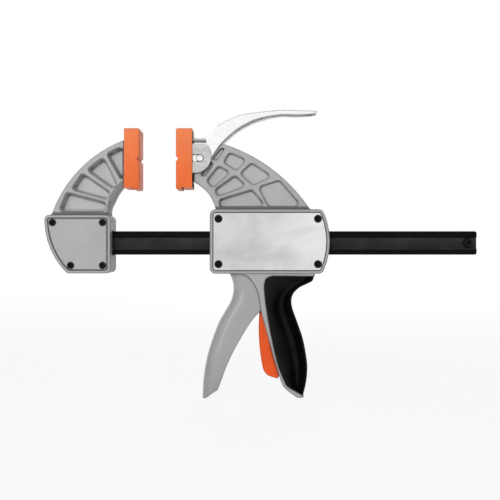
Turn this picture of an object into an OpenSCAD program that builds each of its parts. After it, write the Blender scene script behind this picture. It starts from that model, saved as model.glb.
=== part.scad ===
// Quick release bar clamp: a jaw fixed to one end of an I-section bar, and a sliding jaw with a
// squeeze trigger, a brake release lever and a quick release lever on its pad.
// X runs along the bar from the fixed jaw to the free end, Z is up towards the jaws, and Y = 0 is
// the plane of symmetry. The origin lies on the bar's centreline, in the fixed pad's clamping plane.
// All sizes are in millimetres.

/* [Bar] */
// Height of the bar
bar_h = 21; // [19:0.5:22]
// Thickness of the bar
bar_t = 9; // [8:0.5:10]
// Height of the flange along each edge of the bar
flange_h = 5.2; // [4:0.1:6]
// Depth of the groove in each side of the bar
groove_d = 1.5; // [0.8:0.1:2]
// Free end of the bar, measured from the fixed pad
bar_reach = 300.5; // [260:0.5:400]
// Length of bar held inside the fixed block
bar_held = 46.6; // [44:0.2:49]
// Diameter of the stop pin
stop_d = 7; // [5:0.5:8]
// Length of the stop pin
stop_l = 16; // [13:1:20]
// Middle of the stop pin to the bar's free end
stop_inset = 8.2; // [6:0.1:12]

/* [Jaws] */
// Opening between the pads
opening = 32.1; // [5:0.1:110]
// Middle of the pads above the bar
throat = 64; // [60:0.5:70]
// Height of the pads
pad_h = 54; // [52:0.5:57]
// Width of the pads
pad_w = 27; // [26.6:0.1:29]
// Depth of the V groove across each pad
vee_d = 1.9; // [1:0.1:2.4]
// Height of the V groove
vee_h = 4.8; // [3:0.1:6]

/* [Fixed jaw] */
// Fixed pad's clamping plane to the fixed block
block_setback = 25.4; // [23:0.1:28]
// Length of the fixed block
block_l = 58; // [56:0.5:64]
// Fixed block above the bar
block_above = 14.2; // [13:0.1:16]
// Fixed block below the bar
block_below = 16.4; // [15:0.1:18]
// Width of the fixed block
block_w = 30; // [28:0.5:34]
// Thickness of the fixed arm
fixed_arm_w = 25.4; // [22:0.2:26]
// Radius of the fixed arm's outer edge
fixed_outer_r = 108; // [96:1:130]
// Radius of the fixed arm's inner edge
fixed_inner_r = 36; // [33:0.2:50]
// Depth of the fixed pad, front to back
fixed_pad_t = 13.7; // [12:0.1:15]
// Face of the fixed pad, where it covers the jaw head
pad_face_t = 3.5; // [3:0.1:5]
// Sides of the fixed pad, where they cover the jaw head
pad_side_t = 2.4; // [1.6:0.1:3]
// Diameter of the pins that lock the bar in the block
lock_pin_d = 5; // [4:0.5:5.5]

/* [Sliding jaw] */
// Moving pad's clamping plane to the sliding body
body_setback = 30.2; // [30.2:0.1:31]
// Length of the sliding body
body_l = 105.8; // [104:0.2:112]
// Sliding body above the bar
body_above = 19.1; // [18:0.1:22]
// Sliding body below the bar
body_below = 16.7; // [16:0.1:18]
// Width of the sliding body
body_w = 30; // [29.6:0.1:34]
// Radius of the body's rear end
body_end_r = 64.8; // [60:0.2:90]
// Thickness of the sliding arm
arm_w = 17; // [14:0.2:17.2]
// Radius of the sliding arm's outer edge
outer_r = 145; // [130:0.5:180]
// Radius of the sliding arm's inner edge
inner_r = 38; // [36:0.2:50]
// Thickness of the guide sleeves around the bar
guide_t = 1.9; // [1.5:0.1:2.4]
// Length of the guide sleeves
guide_l = 8.6; // [7:0.1:9]

/* [Castings] */
// Thickness of the cover plates
cover_t = 3; // [2.4:0.1:3.4]
// Rim of the casting around a cover plate
rim = 2.7; // [2.2:0.1:3.2]
// Walls of the hollow castings
wall = 5.5; // [4.5:0.1:6]
// Web between the pockets of an arm
web_t = 6; // [4:0.2:8]
// Screw head diameter
head_d = 7; // [6:0.1:7.6]
// Screw shank diameter
shank_d = 4; // [3:0.1:4.4]
// Screw length
screw_l = 10; // [8:0.5:11]
// Size across the corners of the screw socket
socket_d = 3.4; // [2.6:0.1:3.6]

/* [Handle] */
// Length of the handle below the body
handle_l = 110; // [100:1:120]
// Width of the handle frame
handle_w = 29; // [28:0.2:29.6]
// Width of the grip
grip_w = 31; // [30:0.2:33]
// Width of the frame's spine inside the grip
spine_w = 23; // [20:0.5:25]
// Thickness of the grip behind the spine
grip_t = 3; // [2:0.1:3.2]

/* [Trigger] */
// Width of the trigger
trigger_w = 22.6; // [22:0.1:23]
// Thickness of the trigger's walls
trigger_t = 2.8; // [2:0.1:2.8]
// Diameter of the pivot pin
pivot_d = 5; // [4:0.5:5]
// Diameter of the pin that pushes the drive plates
push_d = 5; // [4:0.1:5]
// Thickness of one drive plate
drive_t = 3; // [2:0.1:3]
// Width of the drive plates
drive_w = 16; // [14:0.2:16]

/* [Brake] */
// Thickness of the brake plate
brake_t = 4; // [3:0.1:4.2]
// Lean of the brake plate at rest, in degrees
brake_lean = 5; // [4:0.5:5.5]
// Diameter of the brake plate's hinge pin
hinge_d = 4; // [3:0.5:4]
// Width of the release lever
release_w = 13; // [11:0.2:13]
// Wire of the two springs
wire_d = 0.9; // [0.6:0.1:1]
// Outer diameter of the two springs
spring_d = 6; // [5:0.1:6.4]

/* [Pad carrier and lever] */
// Depth of the moving pad
moving_pad_t = 14.5; // [14:0.1:14.6]
// Thickness of the carrier's base plate
base_t = 2.2; // [1.6:0.1:2.4]
// Thickness of the carrier's side plates
cheek_t = 1.8; // [1.4:0.1:1.9]
// Radius of the carrier's side plates
cheek_r = 14.4; // [13:0.1:15]
// Diameter of the lever pin
lever_pin_d = 5.9; // [5:0.1:6]
// Thickness of the lever's walls
lever_t = 1.8; // [1.4:0.1:1.9]
// Outer width of the lever's handle
lever_handle_w = 15; // [14:0.2:18]
// Reach of the lever beyond its pin
lever_reach = 104.5; // [96:0.5:115]

/* [Hidden] */

$fn = 48;
fit = 0.05;          // radial clearance of pins and screws that don't turn
run = 0.05;          // radial clearance of pins that something turns on
seat = 0.1;          // gap around a piece that is seated in another
slide_gap = 0.2;     // gap between the bar and its guides
side_gap = 0.3;      // gap between cheeks that turn or slide past each other

PAINT = [0.69, 0.69, 0.69];
ALUMINIUM = [0.86, 0.86, 0.87];
ORANGE = [0.93, 0.42, 0.2];
BLACK = [0.12, 0.12, 0.12];
STEEL = [0.72, 0.72, 0.71];
CHROME = [0.95, 0.95, 0.96];

bar_top = bar_h / 2;
pad_z = bar_top + throat;

// Fixed block
block_x1 = -block_setback;
block_x0 = block_x1 - block_l;
block_top = bar_top + block_above;
block_bottom = -bar_top - block_below;
block_end_r = 66;
block_corner_r = 4.5;
block_heel = 38;     // right side of the block to the foot of its rounded left end
block_brow = 5.4;    // top of the block to the start of its rounded left end
bar_x0 = block_x1 - bar_held;
lock_x = [block_x1 - 14, block_x1 - 32];
saddle_l = 9;        // length of each wall that grips the bar inside the block
block_screws = [[block_x0 + 7, block_top - 6.8], [block_x1 - 6.8, block_top - 6.8],
                [block_x1 - 35, block_bottom + 7], [block_x1 - 6.8, block_bottom + 7]];

// Sliding body, in its own frame: X = 0 is the body's front end
jaw_x = opening + body_setback;
body_top = bar_top + body_above;
body_bottom = -bar_top - body_below;
body_mid = (body_top + body_bottom) / 2;
body_corner_r = 5;
body_screws = [[7.6, body_top - 8.4], [body_l - 10.5, body_top - 8.4],
               [7.6, body_bottom + 8.4], [body_l - 10.5, body_bottom + 8.4]];
boss_r = 5.5;
chamber_w = body_w - 2 * cover_t;
front_guide_x = 0.3;
rear_guide_x = body_l - 1.7 - guide_l;
guide_wall = 3.5;    // casting around the guide sleeves
guide_y = bar_t / 2 + slide_gap + guide_t;
guide_z = bar_top + slide_gap + guide_t;
blind = 2;           // depth of the blind holes that hold pins in the covers

// Trigger and drive
pivot = [23.7, -bar_top - 4];
boss_pivot_r = 6;
push = pivot + [3.5, -9];
drive_x = push.x + push_d / 2 + 0.3;
drive_top = bar_top + 5.5;
drive_bottom = push.y - 2.5;
partition_x = 43.7;
partition_t = 3;
drive_spring_z = bar_top + 3.8;

// Brake and release lever
hinge = [53.7, bar_top + 9.5];
brake_eye_d = hinge_d + 3;
brake_window = 0.35;             // gap above and below the bar when the plate stands upright
tang_w = 10;
tang_end = body_bottom - 24;
brake_spring_z = -bar_top - 8;
spring_seat_x = 66;
spring_seat_t = 4;

// Pad carrier and lever
pad_back_x = moving_pad_t - body_setback;
base_x = pad_back_x - 2 - base_t;
recess_w = pad_w - 1.4;
carrier_w = recess_w - 0.2;
lever_w = carrier_w - 2 * cheek_t - 2 * side_gap - 0.2;
arm_face = arm_w / 2;
lever_pin = [-9, pad_z + 0.5];
slot_gap = 0.35;
cheek_top = pad_z + 13.2;
cheek_bottom = pad_z - 12.5;
cap_gap = 6;         // gap between the cheeks' top and the upper end cap, where the tab passes
tab_z = cheek_top + 3.4;
tab_l = 13.6;
tab_t = 2;

// ---------------------------------------------------------------- curves and outlines

function unit(v) = v / norm(v);
function mix(a, b, t) = a + (b - a) * t;
function reverse(p) = [for (i = [len(p) - 1:-1:0]) p[i]];
function moved(p, d) = [for (q = p) q + d];

// Point at share t of the arc of radius r from p to q; side 1 has the centre on the left of the way
function arc_point(p, q, r, side, t) =
    let (u = unit(q - p),
         c = (p + q) / 2 + side * [-u.y, u.x] * sqrt(r * r - pow(norm(q - p) / 2, 2)),
         a0 = atan2(p.y - c.y, p.x - c.x),
         a1 = atan2(q.y - c.y, q.x - c.x),
         a = a0 + ((a1 - a0 + 540) % 360 - 180) * t)
    c + r * [cos(a), sin(a)];

function arc(p, q, r, side, n = 12) = [for (i = [0:n]) arc_point(p, q, r, side, i / n)];

// Smooth curve through the points k, as n steps between each two of them
function spline(k, n = 4) =
    [for (i = [0:len(k) - 2])
        let (a = k[max(i - 1, 0)], b = k[i], c = k[i + 1], d = k[min(i + 2, len(k) - 1)])
        each [for (s = [0:n - 1])
            let (t = s / n)
            (2 * b + (c - a) * t + (2 * a - 5 * b + 4 * c - d) * t * t
             + (3 * b - a - 3 * c + d) * t * t * t) / 2],
     k[len(k) - 1]];

// Corner b rounded to radius r, between its neighbours a and c, as n steps
function corner(a, b, c, r, n = 5) =
    let (u = unit(a - b), v = unit(c - b),
         half = acos(u * v) / 2,
         d = min(r / tan(half), 0.45 * norm(a - b), 0.45 * norm(c - b)),
         m = b + unit(u + v) * d / cos(half),
         p = b + u * d, q = b + v * d,
         a0 = atan2(p.y - m.y, p.x - m.x),
         a1 = atan2(q.y - m.y, q.x - m.x),
         turn = (a1 - a0 + 540) % 360 - 180)
    [for (i = [0:n]) m + norm(p - m) * [cos(a0 + turn * i / n), sin(a0 + turn * i / n)]];

// Closed outline whose points are [x, z, corner radius], with its corners rounded
function soften(p) =
    [for (i = [0:len(p) - 1])
        let (a = p[(i + len(p) - 1) % len(p)], b = p[i], c = p[(i + 1) % len(p)])
        each (b[2] > 0 ? corner([a.x, a.y], [b.x, b.y], [c.x, c.y], b[2]) : [[b.x, b.y]])];

function rounded_box(x0, x1, z0, z1, r) = soften([[x0, z0, r], [x1, z0, r], [x1, z1, r], [x0, z1, r]]);

// The fixed block's outline, drawn in by i
function block_outline(i) =
    let (r = max(block_corner_r - i, 1.5),
         p = [block_x0 + i, block_top - block_brow],
         q = [block_x1 - block_heel + 0.4 * i, block_bottom + i])
    soften([[block_x1 - i, block_top - i, r],
            [block_x0 + i - 0.5, block_top - i, r],
            for (t = [1:5]) concat(arc_point(p, q, block_end_r - i, 1, t / 6), 0),
            concat(q, r),
            [block_x1 - i, block_bottom + i, r]]);

// The sliding body's outline, drawn in by i
function body_edge_x(z, i) = body_l - body_end_r + sqrt(pow(body_end_r - i, 2) - pow(z - body_mid, 2));
function body_outline(i) =
    let (r = max(body_corner_r - i, 1.5), z0 = body_bottom + i, z1 = body_top - i)
    soften([[i, z1, r], [i, z0, r],
            [body_edge_x(z0, i), z0, r],
            for (t = [1:5]) [body_edge_x(mix(z0, z1, t / 6), i), mix(z0, z1, t / 6), 0],
            [body_edge_x(z1, i), z1, r]]);

// An arm is [inner edge, outer edge, side], and an edge is [foot, tip, radius]
root = 2;            // how far an arm's foot reaches into its block
fixed_end_x = -fixed_pad_t - seat;
fixed_arm = [[[block_x1 - 2.8, block_top - root], [fixed_end_x, pad_z - 19.1], fixed_inner_r],
             [[block_x0 + 4.8, block_top - root], [fixed_end_x, pad_z + 16.4], fixed_outer_r], -1];
sliding_arm = [[[5.3, body_top - root], [pad_back_x + 1.4, pad_z - 19.9], inner_r],
               [[body_l - 15.5, body_top - root], [12.2, pad_z + 13.5], outer_r], 1];

// Point of edge k of an arm at share t of the way from foot to tip
function edge(arm, k, t) = arc_point(arm[k][0], arm[k][1], arm[k][2], arm[2], t);

// Both edges of an arm as one outline: out along the inner edge, over the points tip, and back
function arm_outline(arm, tip) =
    concat([for (i = [0:12]) edge(arm, 0, i / 12)], tip, [for (i = [12:-1:0]) edge(arm, 1, i / 12)]);

// Pocket of an arm: each corner is its share of the way from foot to tip and from edge to edge
function pocket(arm, corners) =
    soften([for (c = corners) concat(mix(edge(arm, 0, c[0]), edge(arm, 1, c[0]), c[1]), pocket_r)]);

pocket_r = 3.2;
fixed_pockets = [[[0.055, 0.90], [0.267, 0.92], [0.33, 0.06], [0.124, 0.05]],
                 [[0.30, 0.875], [0.505, 0.90], [0.573, 0.065], [0.396, 0.05]],
                 [[0.549, 0.875], [0.767, 0.86], [0.80, 0.055], [0.66, 0.05]],
                 [[0.804, 0.885], [0.99, 0.88], [0.985, 0.06], [0.91, 0.09]]];
sliding_pockets = [[[0.055, 0.94], [0.385, 0.94], [0.367, 0.63], [0.071, 0.575]],
                   [[0.44, 0.91], [0.674, 0.89], [0.626, 0.595], [0.403, 0.59]],
                   [[0.727, 0.89], [0.906, 0.875], [0.871, 0.62], [0.674, 0.605]],
                   [[0.964, 0.92], [1.00, 0.89], [0.999, 0.60], [0.94, 0.595]],
                   [[0.072, 0.56], [0.354, 0.545], [0.306, 0.08], [0.108, 0.05]],
                   [[0.421, 0.53], [0.637, 0.53], [0.56, 0.12], [0.373, 0.075]],
                   [[0.70, 0.53], [0.882, 0.53], [0.824, 0.145], [0.595, 0.10]],
                   [[0.944, 0.515], [1.00, 0.545], [0.984, 0.17], [0.889, 0.20]]];

// A point on the handle: x along the body, drop below it, the drop following the handle's length
function on_handle(x, drop) = [x, body_bottom - drop * handle_l / 110];
function handle_curve(k) = spline([for (p = k) on_handle(p.x, p.y)]);

handle_front = handle_curve([[22.2, 0], [29, 0.8], [36, 5.2], [42.1, 16], [44.3, 27.7], [45.2, 34],
                             [48.4, 45.7], [52, 58.4], [56.1, 73.7], [60.1, 86.3], [62.4, 94.4],
                             [66.5, 101.4], [76.5, 109]]);
grip_front = handle_curve([[54.8, 2.2], [50, 4.2], [48.1, 9.2], [48.1, 16.2], [49.4, 27.8],
                           [52.2, 45.5], [55.8, 63.2], [60.2, 80.8], [65.4, 94.1], [69, 99.8],
                           [82.7, 107.8]]);
grip_back = handle_curve([[92.8, 2.2], [91.4, 6.6], [86.6, 9.3], [80, 12.4], [74.6, 17.6],
                          [72.6, 23.6], [73.4, 31], [77.7, 43.4], [82.9, 58.9], [86.4, 78.4],
                          [86.5, 90], [85, 100.2], [82.7, 107.8]]);

// ---------------------------------------------------------------- building blocks

// Outline in the XZ plane, given thickness from y0 to y1
module plate(outline, y0, y1) {
    translate([0, y1, 0]) rotate([90, 0, 0]) linear_extrude(y1 - y0) polygon(outline);
}

module slab(outline, w) { plate(outline, -w / 2, w / 2); }

// Round bar along Y at the point [x, z]
module rod(at, d, y0, y1) {
    translate([at.x, y1, at.y]) rotate([90, 0, 0]) cylinder(d = d, h = y1 - y0);
}

// Box from x0 to x1 and z0 to z1, w wide about Y = 0
module bar_box(x0, x1, w, z0, z1) {
    translate([x0, -w / 2, z0]) cube([x1 - x0, w, z1 - z0]);
}

module both_sides() {
    children();
    mirror([0, 1, 0]) children();
}

module on_sliding_jaw() { translate([jaw_x, 0, 0]) children(); }

// Countersunk screw along +Y with its head's face at y0, grown by g for its hole
module screw(at, y0, g = 0) {
    head_h = (head_d - shank_d) / 2;
    translate([at.x, y0, at.y]) rotate([-90, 0, 0]) difference() {
        union() {
            cylinder(d1 = head_d + 2 * g, d2 = shank_d + 2 * g, h = head_h);
            cylinder(d = shank_d + 2 * g, h = screw_l + g);
        }
        if (g == 0) translate([0, 0, -1]) cylinder(d = socket_d, h = 2.6, $fn = 6);
    }
}

module screws(points, w) {
    for (p = points) screw(p, -w / 2);
}

// Front cover plate, with countersunk holes
module cover(outline, points, w) {
    difference() {
        plate(outline, -w / 2, -w / 2 + cover_t);
        for (p = points) screw(p, -w / 2, fit);
    }
}

module both_rows_of_holes(points, w) {
    both_sides() for (p = points) screw(p, -w / 2, fit);
}

// V groove across a pad whose face is at x; side 1 cuts towards -X and -1 towards +X
module vee(x, side) {
    h = vee_h / 2 * (1 + 1 / vee_d);
    slab([[x + side, pad_z - h], [x - side * vee_d, pad_z], [x + side, pad_z + h]], pad_w + 2);
}

// Coil spring along X from x0 to x1 about height z: one tube along a helix
module coil(x0, x1, z, turns) {
    steps = 12;
    sides = 6;
    r = (spring_d - wire_d) / 2;
    n = turns * steps;
    rings = [for (i = [0:n]) for (s = [0:sides - 1])
        let (a = 360 * i / steps, b = 360 * s / sides, rr = r + wire_d / 2 * cos(b))
        [x0 + wire_d / 2 + (x1 - x0 - wire_d) * i / n + wire_d / 2 * sin(b), rr * cos(a), z + rr * sin(a)]];
    skin = [for (i = [0:n - 1]) for (s = [0:sides - 1])
        let (a = i * sides + s, b = i * sides + (s + 1) % sides)
        each [[a, b, b + sides], [a, b + sides, a + sides]]];
    first = [[for (s = [sides - 1:-1:0]) s]];
    last = [[for (s = [0:sides - 1]) n * sides + s]];
    polyhedron(rings, concat(skin, first, last));
}

// ---------------------------------------------------------------- bar and fixed jaw

module bar() {
    y = bar_t / 2;
    g = y - groove_d;
    z = bar_top;
    f = bar_top - flange_h;
    half = [[y, -z], [y, -f], [g, -f + groove_d / 2], [g, f - groove_d / 2], [y, f], [y, z]];
    color(BLACK) difference() {
        intersection() {
            translate([bar_x0, 0, 0]) rotate([90, 0, 90]) linear_extrude(bar_reach - bar_x0)
                polygon(concat(half, [for (p = reverse(half)) [-p.x, p.y]]));
            slab(rounded_box(bar_x0 - 0.01, bar_reach, -bar_top, bar_top, 2), bar_t + 1);
        }
        rod([bar_reach - stop_inset, 0], stop_d + 2 * fit, -bar_t, bar_t);
        for (x = lock_x) rod([x, 0], lock_pin_d + 2 * fit, -bar_t, bar_t);
    }
}

// Slotted spring pin across the bar
module bar_stop_pin() {
    at = [bar_reach - stop_inset, 0];
    color(STEEL) difference() {
        rod(at, stop_d, -stop_l / 2, stop_l / 2);
        rod(at, stop_d * 0.6, -stop_l, stop_l);
        bar_box(at.x, at.x + stop_d, stop_l * 2, -0.6, 0.6);
    }
}

module fixed_jaw() {
    inside = block_w - 2 * cover_t;
    head_w = pad_w - 2 * pad_side_t - 2 * seat;
    color(PAINT) difference() {
        union() {
            slab(block_outline(0), block_w);
            slab(arm_outline(fixed_arm, []), fixed_arm_w);
            bar_box(fixed_end_x - 2, fixed_end_x + 2, head_w, pad_z - 15, pad_z + 12);
            bar_box(fixed_end_x + seat, -pad_face_t - seat, head_w,
                    pad_z - pad_h / 2 + pad_side_t + seat, pad_z + pad_h / 2 - pad_side_t - seat);
        }
        both_sides() plate(block_outline(rim), inside / 2, block_w);
        difference() {
            slab(block_outline(wall), inside + 1);
            for (x = lock_x)
                bar_box(x - saddle_l / 2, x + saddle_l / 2, block_w, block_bottom, block_top);
            for (p = block_screws) rod(p, 2 * boss_r, -block_w, block_w);
        }
        bar_box(bar_x0 - seat, block_x1 + 1, bar_t + 2 * fit, -bar_top - fit, bar_top + fit);
        for (x = lock_x) rod([x, 0], lock_pin_d + 2 * fit, -block_w, block_w);
        both_rows_of_holes(block_screws, block_w);
        both_sides() for (p = fixed_pockets)
            plate(pocket(fixed_arm, p), web_t / 2, block_w);
    }
}

module fixed_jaw_lock_pins() {
    reach = block_w / 2 - cover_t - 0.2;
    color(STEEL) for (x = lock_x) rod([x, 0], lock_pin_d, -reach, reach);
}

module fixed_jaw_front_cover() { color(PAINT) cover(block_outline(rim + seat), block_screws, block_w); }
module fixed_jaw_rear_cover() { mirror([0, 1, 0]) fixed_jaw_front_cover(); }
module fixed_jaw_front_screws() { color(BLACK) screws(block_screws, block_w); }
module fixed_jaw_rear_screws() { mirror([0, 1, 0]) fixed_jaw_front_screws(); }

// Soft boot that slips over the jaw head
module fixed_pad() {
    color(ORANGE) difference() {
        slab(rounded_box(-fixed_pad_t, 0, pad_z - pad_h / 2, pad_z + pad_h / 2, 1.5), pad_w);
        bar_box(-fixed_pad_t - 1, -pad_face_t, pad_w - 2 * pad_side_t,
                pad_z - pad_h / 2 + pad_side_t, pad_z + pad_h / 2 - pad_side_t);
        vee(0, 1);
    }
}

// ---------------------------------------------------------------- sliding jaw

// Tongue at the sliding arm's tip, which holds the lever pin
tongue_r = 6.8;
tongue = concat([[sliding_arm[0][1].x, lever_pin.y - 8]],
                [for (a = [210:-30:90]) lever_pin + tongue_r * [cos(a), sin(a)]],
                [lever_pin + [7, 8.6], lever_pin + [14, 11]]);

function spine_outline(g) =
    concat([on_handle(30, -2) + [-g, 0]],
           [for (k = [1:len(handle_front) - 6]) handle_front[k] + [1 - g, 0]],
           [on_handle(76, 104) + [g, -g]],
           [for (p = reverse(grip_back)) if (p.y > body_bottom - 0.92 * handle_l
                                           && p.y < body_bottom - 0.1 * handle_l) p + [g - grip_t, 0]],
           [on_handle(84, 6) + [g, -g], on_handle(84, -2) + [g, 0]]);

// Frame of the handle: the lip in front of the grip and the spine inside it
module handle_frame() {
    slab(concat(handle_front, [on_handle(80, 109.6), on_handle(82.7, 108.8)], reverse(grip_front),
                [on_handle(92.6, 2.2), on_handle(92.6, -1), on_handle(22.2, -1)]), handle_w);
    slab(spine_outline(0), spine_w);
}

// Room for the trigger's swing and, deeper in, for the release lever's
module handle_hollow() {
    slab([on_handle(14, -6.2), on_handle(62.5, -6.2), on_handle(62.5, 23), on_handle(59, 35),
          on_handle(55.5, 49), on_handle(53.5, 63), on_handle(30, 63), on_handle(14, 34)], chamber_w);
    slab([on_handle(44, -6.2), on_handle(62.5, -6.2), on_handle(62.5, 23), on_handle(64.3, 35),
          on_handle(67.5, 52), on_handle(72, 67), on_handle(74.5, 78), on_handle(74.5, 94),
          on_handle(70, 97), on_handle(50, 97), on_handle(30, 60)], release_w + 1.6);
}

// Hollow of the body, with the walls and bosses that stand in it
module body_hollow() {
    difference() {
        slab(body_outline(wall), chamber_w + 1);
        for (x = [[0, front_guide_x + guide_l + seat], [rear_guide_x - seat, body_l]])
            bar_box(x[0], x[1], body_w, -guide_z - guide_wall, guide_z + guide_wall);
        bar_box(partition_x, partition_x + partition_t, body_w, body_bottom, body_top);
        bar_box(spring_seat_x, spring_seat_x + spring_seat_t, body_w, body_bottom, -bar_top - 2);
        for (p = body_screws) rod(p, 2 * boss_r, -body_w, body_w);
    }
}

module sliding_jaw() {
    color(PAINT) on_sliding_jaw() difference() {
        union() {
            slab(body_outline(0), body_w);
            slab(arm_outline(sliding_arm, tongue), arm_w);
            handle_frame();
        }
        both_sides() plate(body_outline(rim), chamber_w / 2, body_w);
        body_hollow();
        handle_hollow();
        for (x = [[-1, front_guide_x + guide_l + seat], [rear_guide_x - seat, body_l + 1]])
            bar_box(x[0], x[1], 2 * guide_y + 2 * fit, -guide_z - fit, guide_z + fit);
        bar_box(front_guide_x, rear_guide_x, bar_t + 1.2, -bar_top - 0.6, bar_top + 0.6);
        both_rows_of_holes(body_screws, body_w);
        rod(lever_pin, lever_pin_d + 2 * fit, -body_w, body_w);
        both_sides() for (p = sliding_pockets) plate(pocket(sliding_arm, p), web_t / 2, body_w);
    }
}

module body_front_cover() {
    color(ALUMINIUM) on_sliding_jaw() difference() {
        cover(body_outline(rim + seat), body_screws, body_w);
        rod(pivot, pivot_d + 2 * fit, -chamber_w / 2 - blind, 0);
        rod(hinge, hinge_d + 2 * fit, -chamber_w / 2 - blind, 0);
    }
}
module body_rear_cover() { mirror([0, 1, 0]) body_front_cover(); }
module body_front_screws() { color(BLACK) on_sliding_jaw() screws(body_screws, body_w); }
module body_rear_screws() { mirror([0, 1, 0]) body_front_screws(); }

// Sleeve of square section that the bar runs in
module bar_guide(x) {
    color(STEEL) on_sliding_jaw() difference() {
        bar_box(x, x + guide_l, 2 * guide_y, -guide_z, guide_z);
        bar_box(x - 1, x + guide_l + 1, bar_t + 2 * slide_gap, -bar_top - slide_gap, bar_top + slide_gap);
    }
}
module front_bar_guide() { bar_guide(front_guide_x); }
module rear_bar_guide() { bar_guide(rear_guide_x); }

// Soft grip moulded around the handle's spine
module handle_grip() {
    color(BLACK) on_sliding_jaw() difference() {
        slab(concat([for (i = [0:len(grip_front) - 2]) grip_front[i] + [seat, 0]],
                    reverse(grip_back)), grip_w);
        slab(spine_outline(seat), spine_w + 2 * seat);
    }
}

module trigger_pivot_pin() {
    reach = chamber_w / 2 + blind - 0.1;
    color(STEEL) on_sliding_jaw() rod(pivot, pivot_d, -reach, reach);
}

module brake_hinge_pin() {
    reach = chamber_w / 2 + blind - 0.1;
    color(STEEL) on_sliding_jaw() rod(hinge, hinge_d, -reach, reach);
}

module lever_pin() {
    color(STEEL) on_sliding_jaw() rod(lever_pin, lever_pin_d, -carrier_w / 2, carrier_w / 2);
}

module drive_spring() {
    color(STEEL) on_sliding_jaw()
        coil(drive_x + 2 * drive_t + 0.1, partition_x - 0.1, drive_spring_z, 4);
}

module brake_spring() {
    face = hinge.x + (brake_spring_z - hinge.y) * tan(brake_lean) + brake_t / 2 / cos(brake_lean);
    lead = spring_d / 2 * tan(brake_lean);
    color(STEEL) on_sliding_jaw() coil(face + lead + 0.1, spring_seat_x - 0.1, brake_spring_z, 6);
}

// ---------------------------------------------------------------- trigger and drive plates

trigger_front = concat([pivot + [-boss_pivot_r, 0]],
    handle_curve([[17.2, 0.4], [20, 8], [20.4, 16], [18.4, 24.2], [13.3, 33.5], [8.2, 42.2],
                  [3.3, 54.2], [-0.7, 66], [-3.6, 77], [-6.4, 94.3], [-7.2, 111.4]]));
trigger_back = handle_curve([[6.8, 103.2], [9.9, 95.2], [14, 84], [20.3, 70], [29.8, 53.1],
                             [37.5, 41.3], [44.4, 33.2], [48, 26], [46, 17], [41, 7], [36, -2]]);

module trigger() {
    inner_w = trigger_w - 2 * trigger_t;
    color(PAINT) on_sliding_jaw() difference() {
        union() {
            slab(concat(trigger_front, [on_handle(-5.6, 112.2)], trigger_back, [push + [4.6, 3]]), trigger_w);
            rod(pivot, 2 * boss_pivot_r, -trigger_w / 2, trigger_w / 2);
        }
        slab(concat(moved([for (p = trigger_front) if (p.y > body_bottom - 0.93 * handle_l) p],
                          [trigger_t, 0]), [on_handle(20, 102), on_handle(70, 40), on_handle(60, -20)]),
             inner_w);
        bar_box(pivot.x - 12, push.x + 12, inner_w, body_bottom + 4, pivot.y + 12);
        rod(pivot, pivot_d + 2 * run, -trigger_w, trigger_w);
        rod(push, push_d + 2 * fit, -trigger_w, trigger_w);
    }
}

module push_pin() {
    color(STEEL) on_sliding_jaw() rod(push, push_d, -trigger_w / 2 + 0.1, trigger_w / 2 - 0.1);
}

module drive_plate(x) {
    color(STEEL) on_sliding_jaw() difference() {
        bar_box(x, x + drive_t, drive_w, drive_bottom, drive_top);
        bar_box(x - 1, x + drive_t + 1, bar_t + 0.6, -bar_top - 0.3, bar_top + 0.3);
    }
}
module front_drive_plate() { drive_plate(drive_x); }
module rear_drive_plate() { drive_plate(drive_x + drive_t); }

// ---------------------------------------------------------------- brake and release lever

// Turns its children, drawn as the plate stands upright, to the plate's lean at rest
module leaning() {
    translate([hinge.x, 0, hinge.y]) rotate([0, brake_lean, 0]) translate([-hinge.x, 0, -hinge.y])
        children();
}

module brake_tang_slot() {
    leaning() bar_box(hinge.x - brake_t / 2 - seat, hinge.x + brake_t / 2 + seat, tang_w + 2 * seat,
                      tang_end - seat, -bar_top);
}

module brake_plate() {
    bottom = -bar_top - 5.5;
    top = hinge.y - hinge_d / 2 - 0.4;
    y = drive_w / 2;
    color(STEEL) on_sliding_jaw() difference() {
        union() {
            leaning() translate([hinge.x - brake_t / 2, 0, 0]) rotate([90, 0, 90])
                linear_extrude(brake_t) polygon([[-y, bottom], [-tang_w / 2, bottom], [-tang_w / 2, tang_end],
                    [tang_w / 2, tang_end], [tang_w / 2, bottom], [y, bottom], [y, top], [-y, top]]);
            rod(hinge, brake_eye_d, -y + 0.5, y - 0.5);
        }
        leaning() bar_box(hinge.x - brake_t, hinge.x + brake_t, bar_t + 0.6,
                          -bar_top - brake_window, bar_top + brake_window);
        rod(hinge, hinge_d + 2 * run, -drive_w, drive_w);
        release_pin_hole();
    }
}

release_pin = [48, body_bottom - 20];
module release_pin_hole() { rod(release_pin, 2 + 2 * fit, -release_w, release_w); }

release_outline = concat(
    handle_curve([[44.4, 16.5], [43.7, 35.3], [43.2, 51.6], [44.1, 67], [46.1, 80.9], [48, 87.4],
                  [52, 91.4], [59.3, 93.6]]),
    handle_curve([[61.8, 90.2], [62, 80.8], [60, 66.8], [57.5, 51.8], [56, 34.8], [54.5, 18],
                  [53, 15.6]]));

module release_lever() {
    color(ORANGE) on_sliding_jaw() difference() {
        slab(release_outline, release_w);
        brake_tang_slot();
        release_pin_hole();
    }
}

module release_lever_pin() {
    color(STEEL) on_sliding_jaw() rod(release_pin, 2, -release_w / 2 + 0.2, release_w / 2 - 0.2);
}

// ---------------------------------------------------------------- quick release lever

// A point of the lever, from its pin; what lies beyond the fork follows the lever's reach
fork = 36;
function on_lever(x, z) = lever_pin + [x > fork ? fork + (x - fork) * (lever_reach - fork) / (104.5 - fork) : x, z];
function lever_curve(k) = spline([for (p = k) on_lever(p.x, p.y)]);

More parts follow.
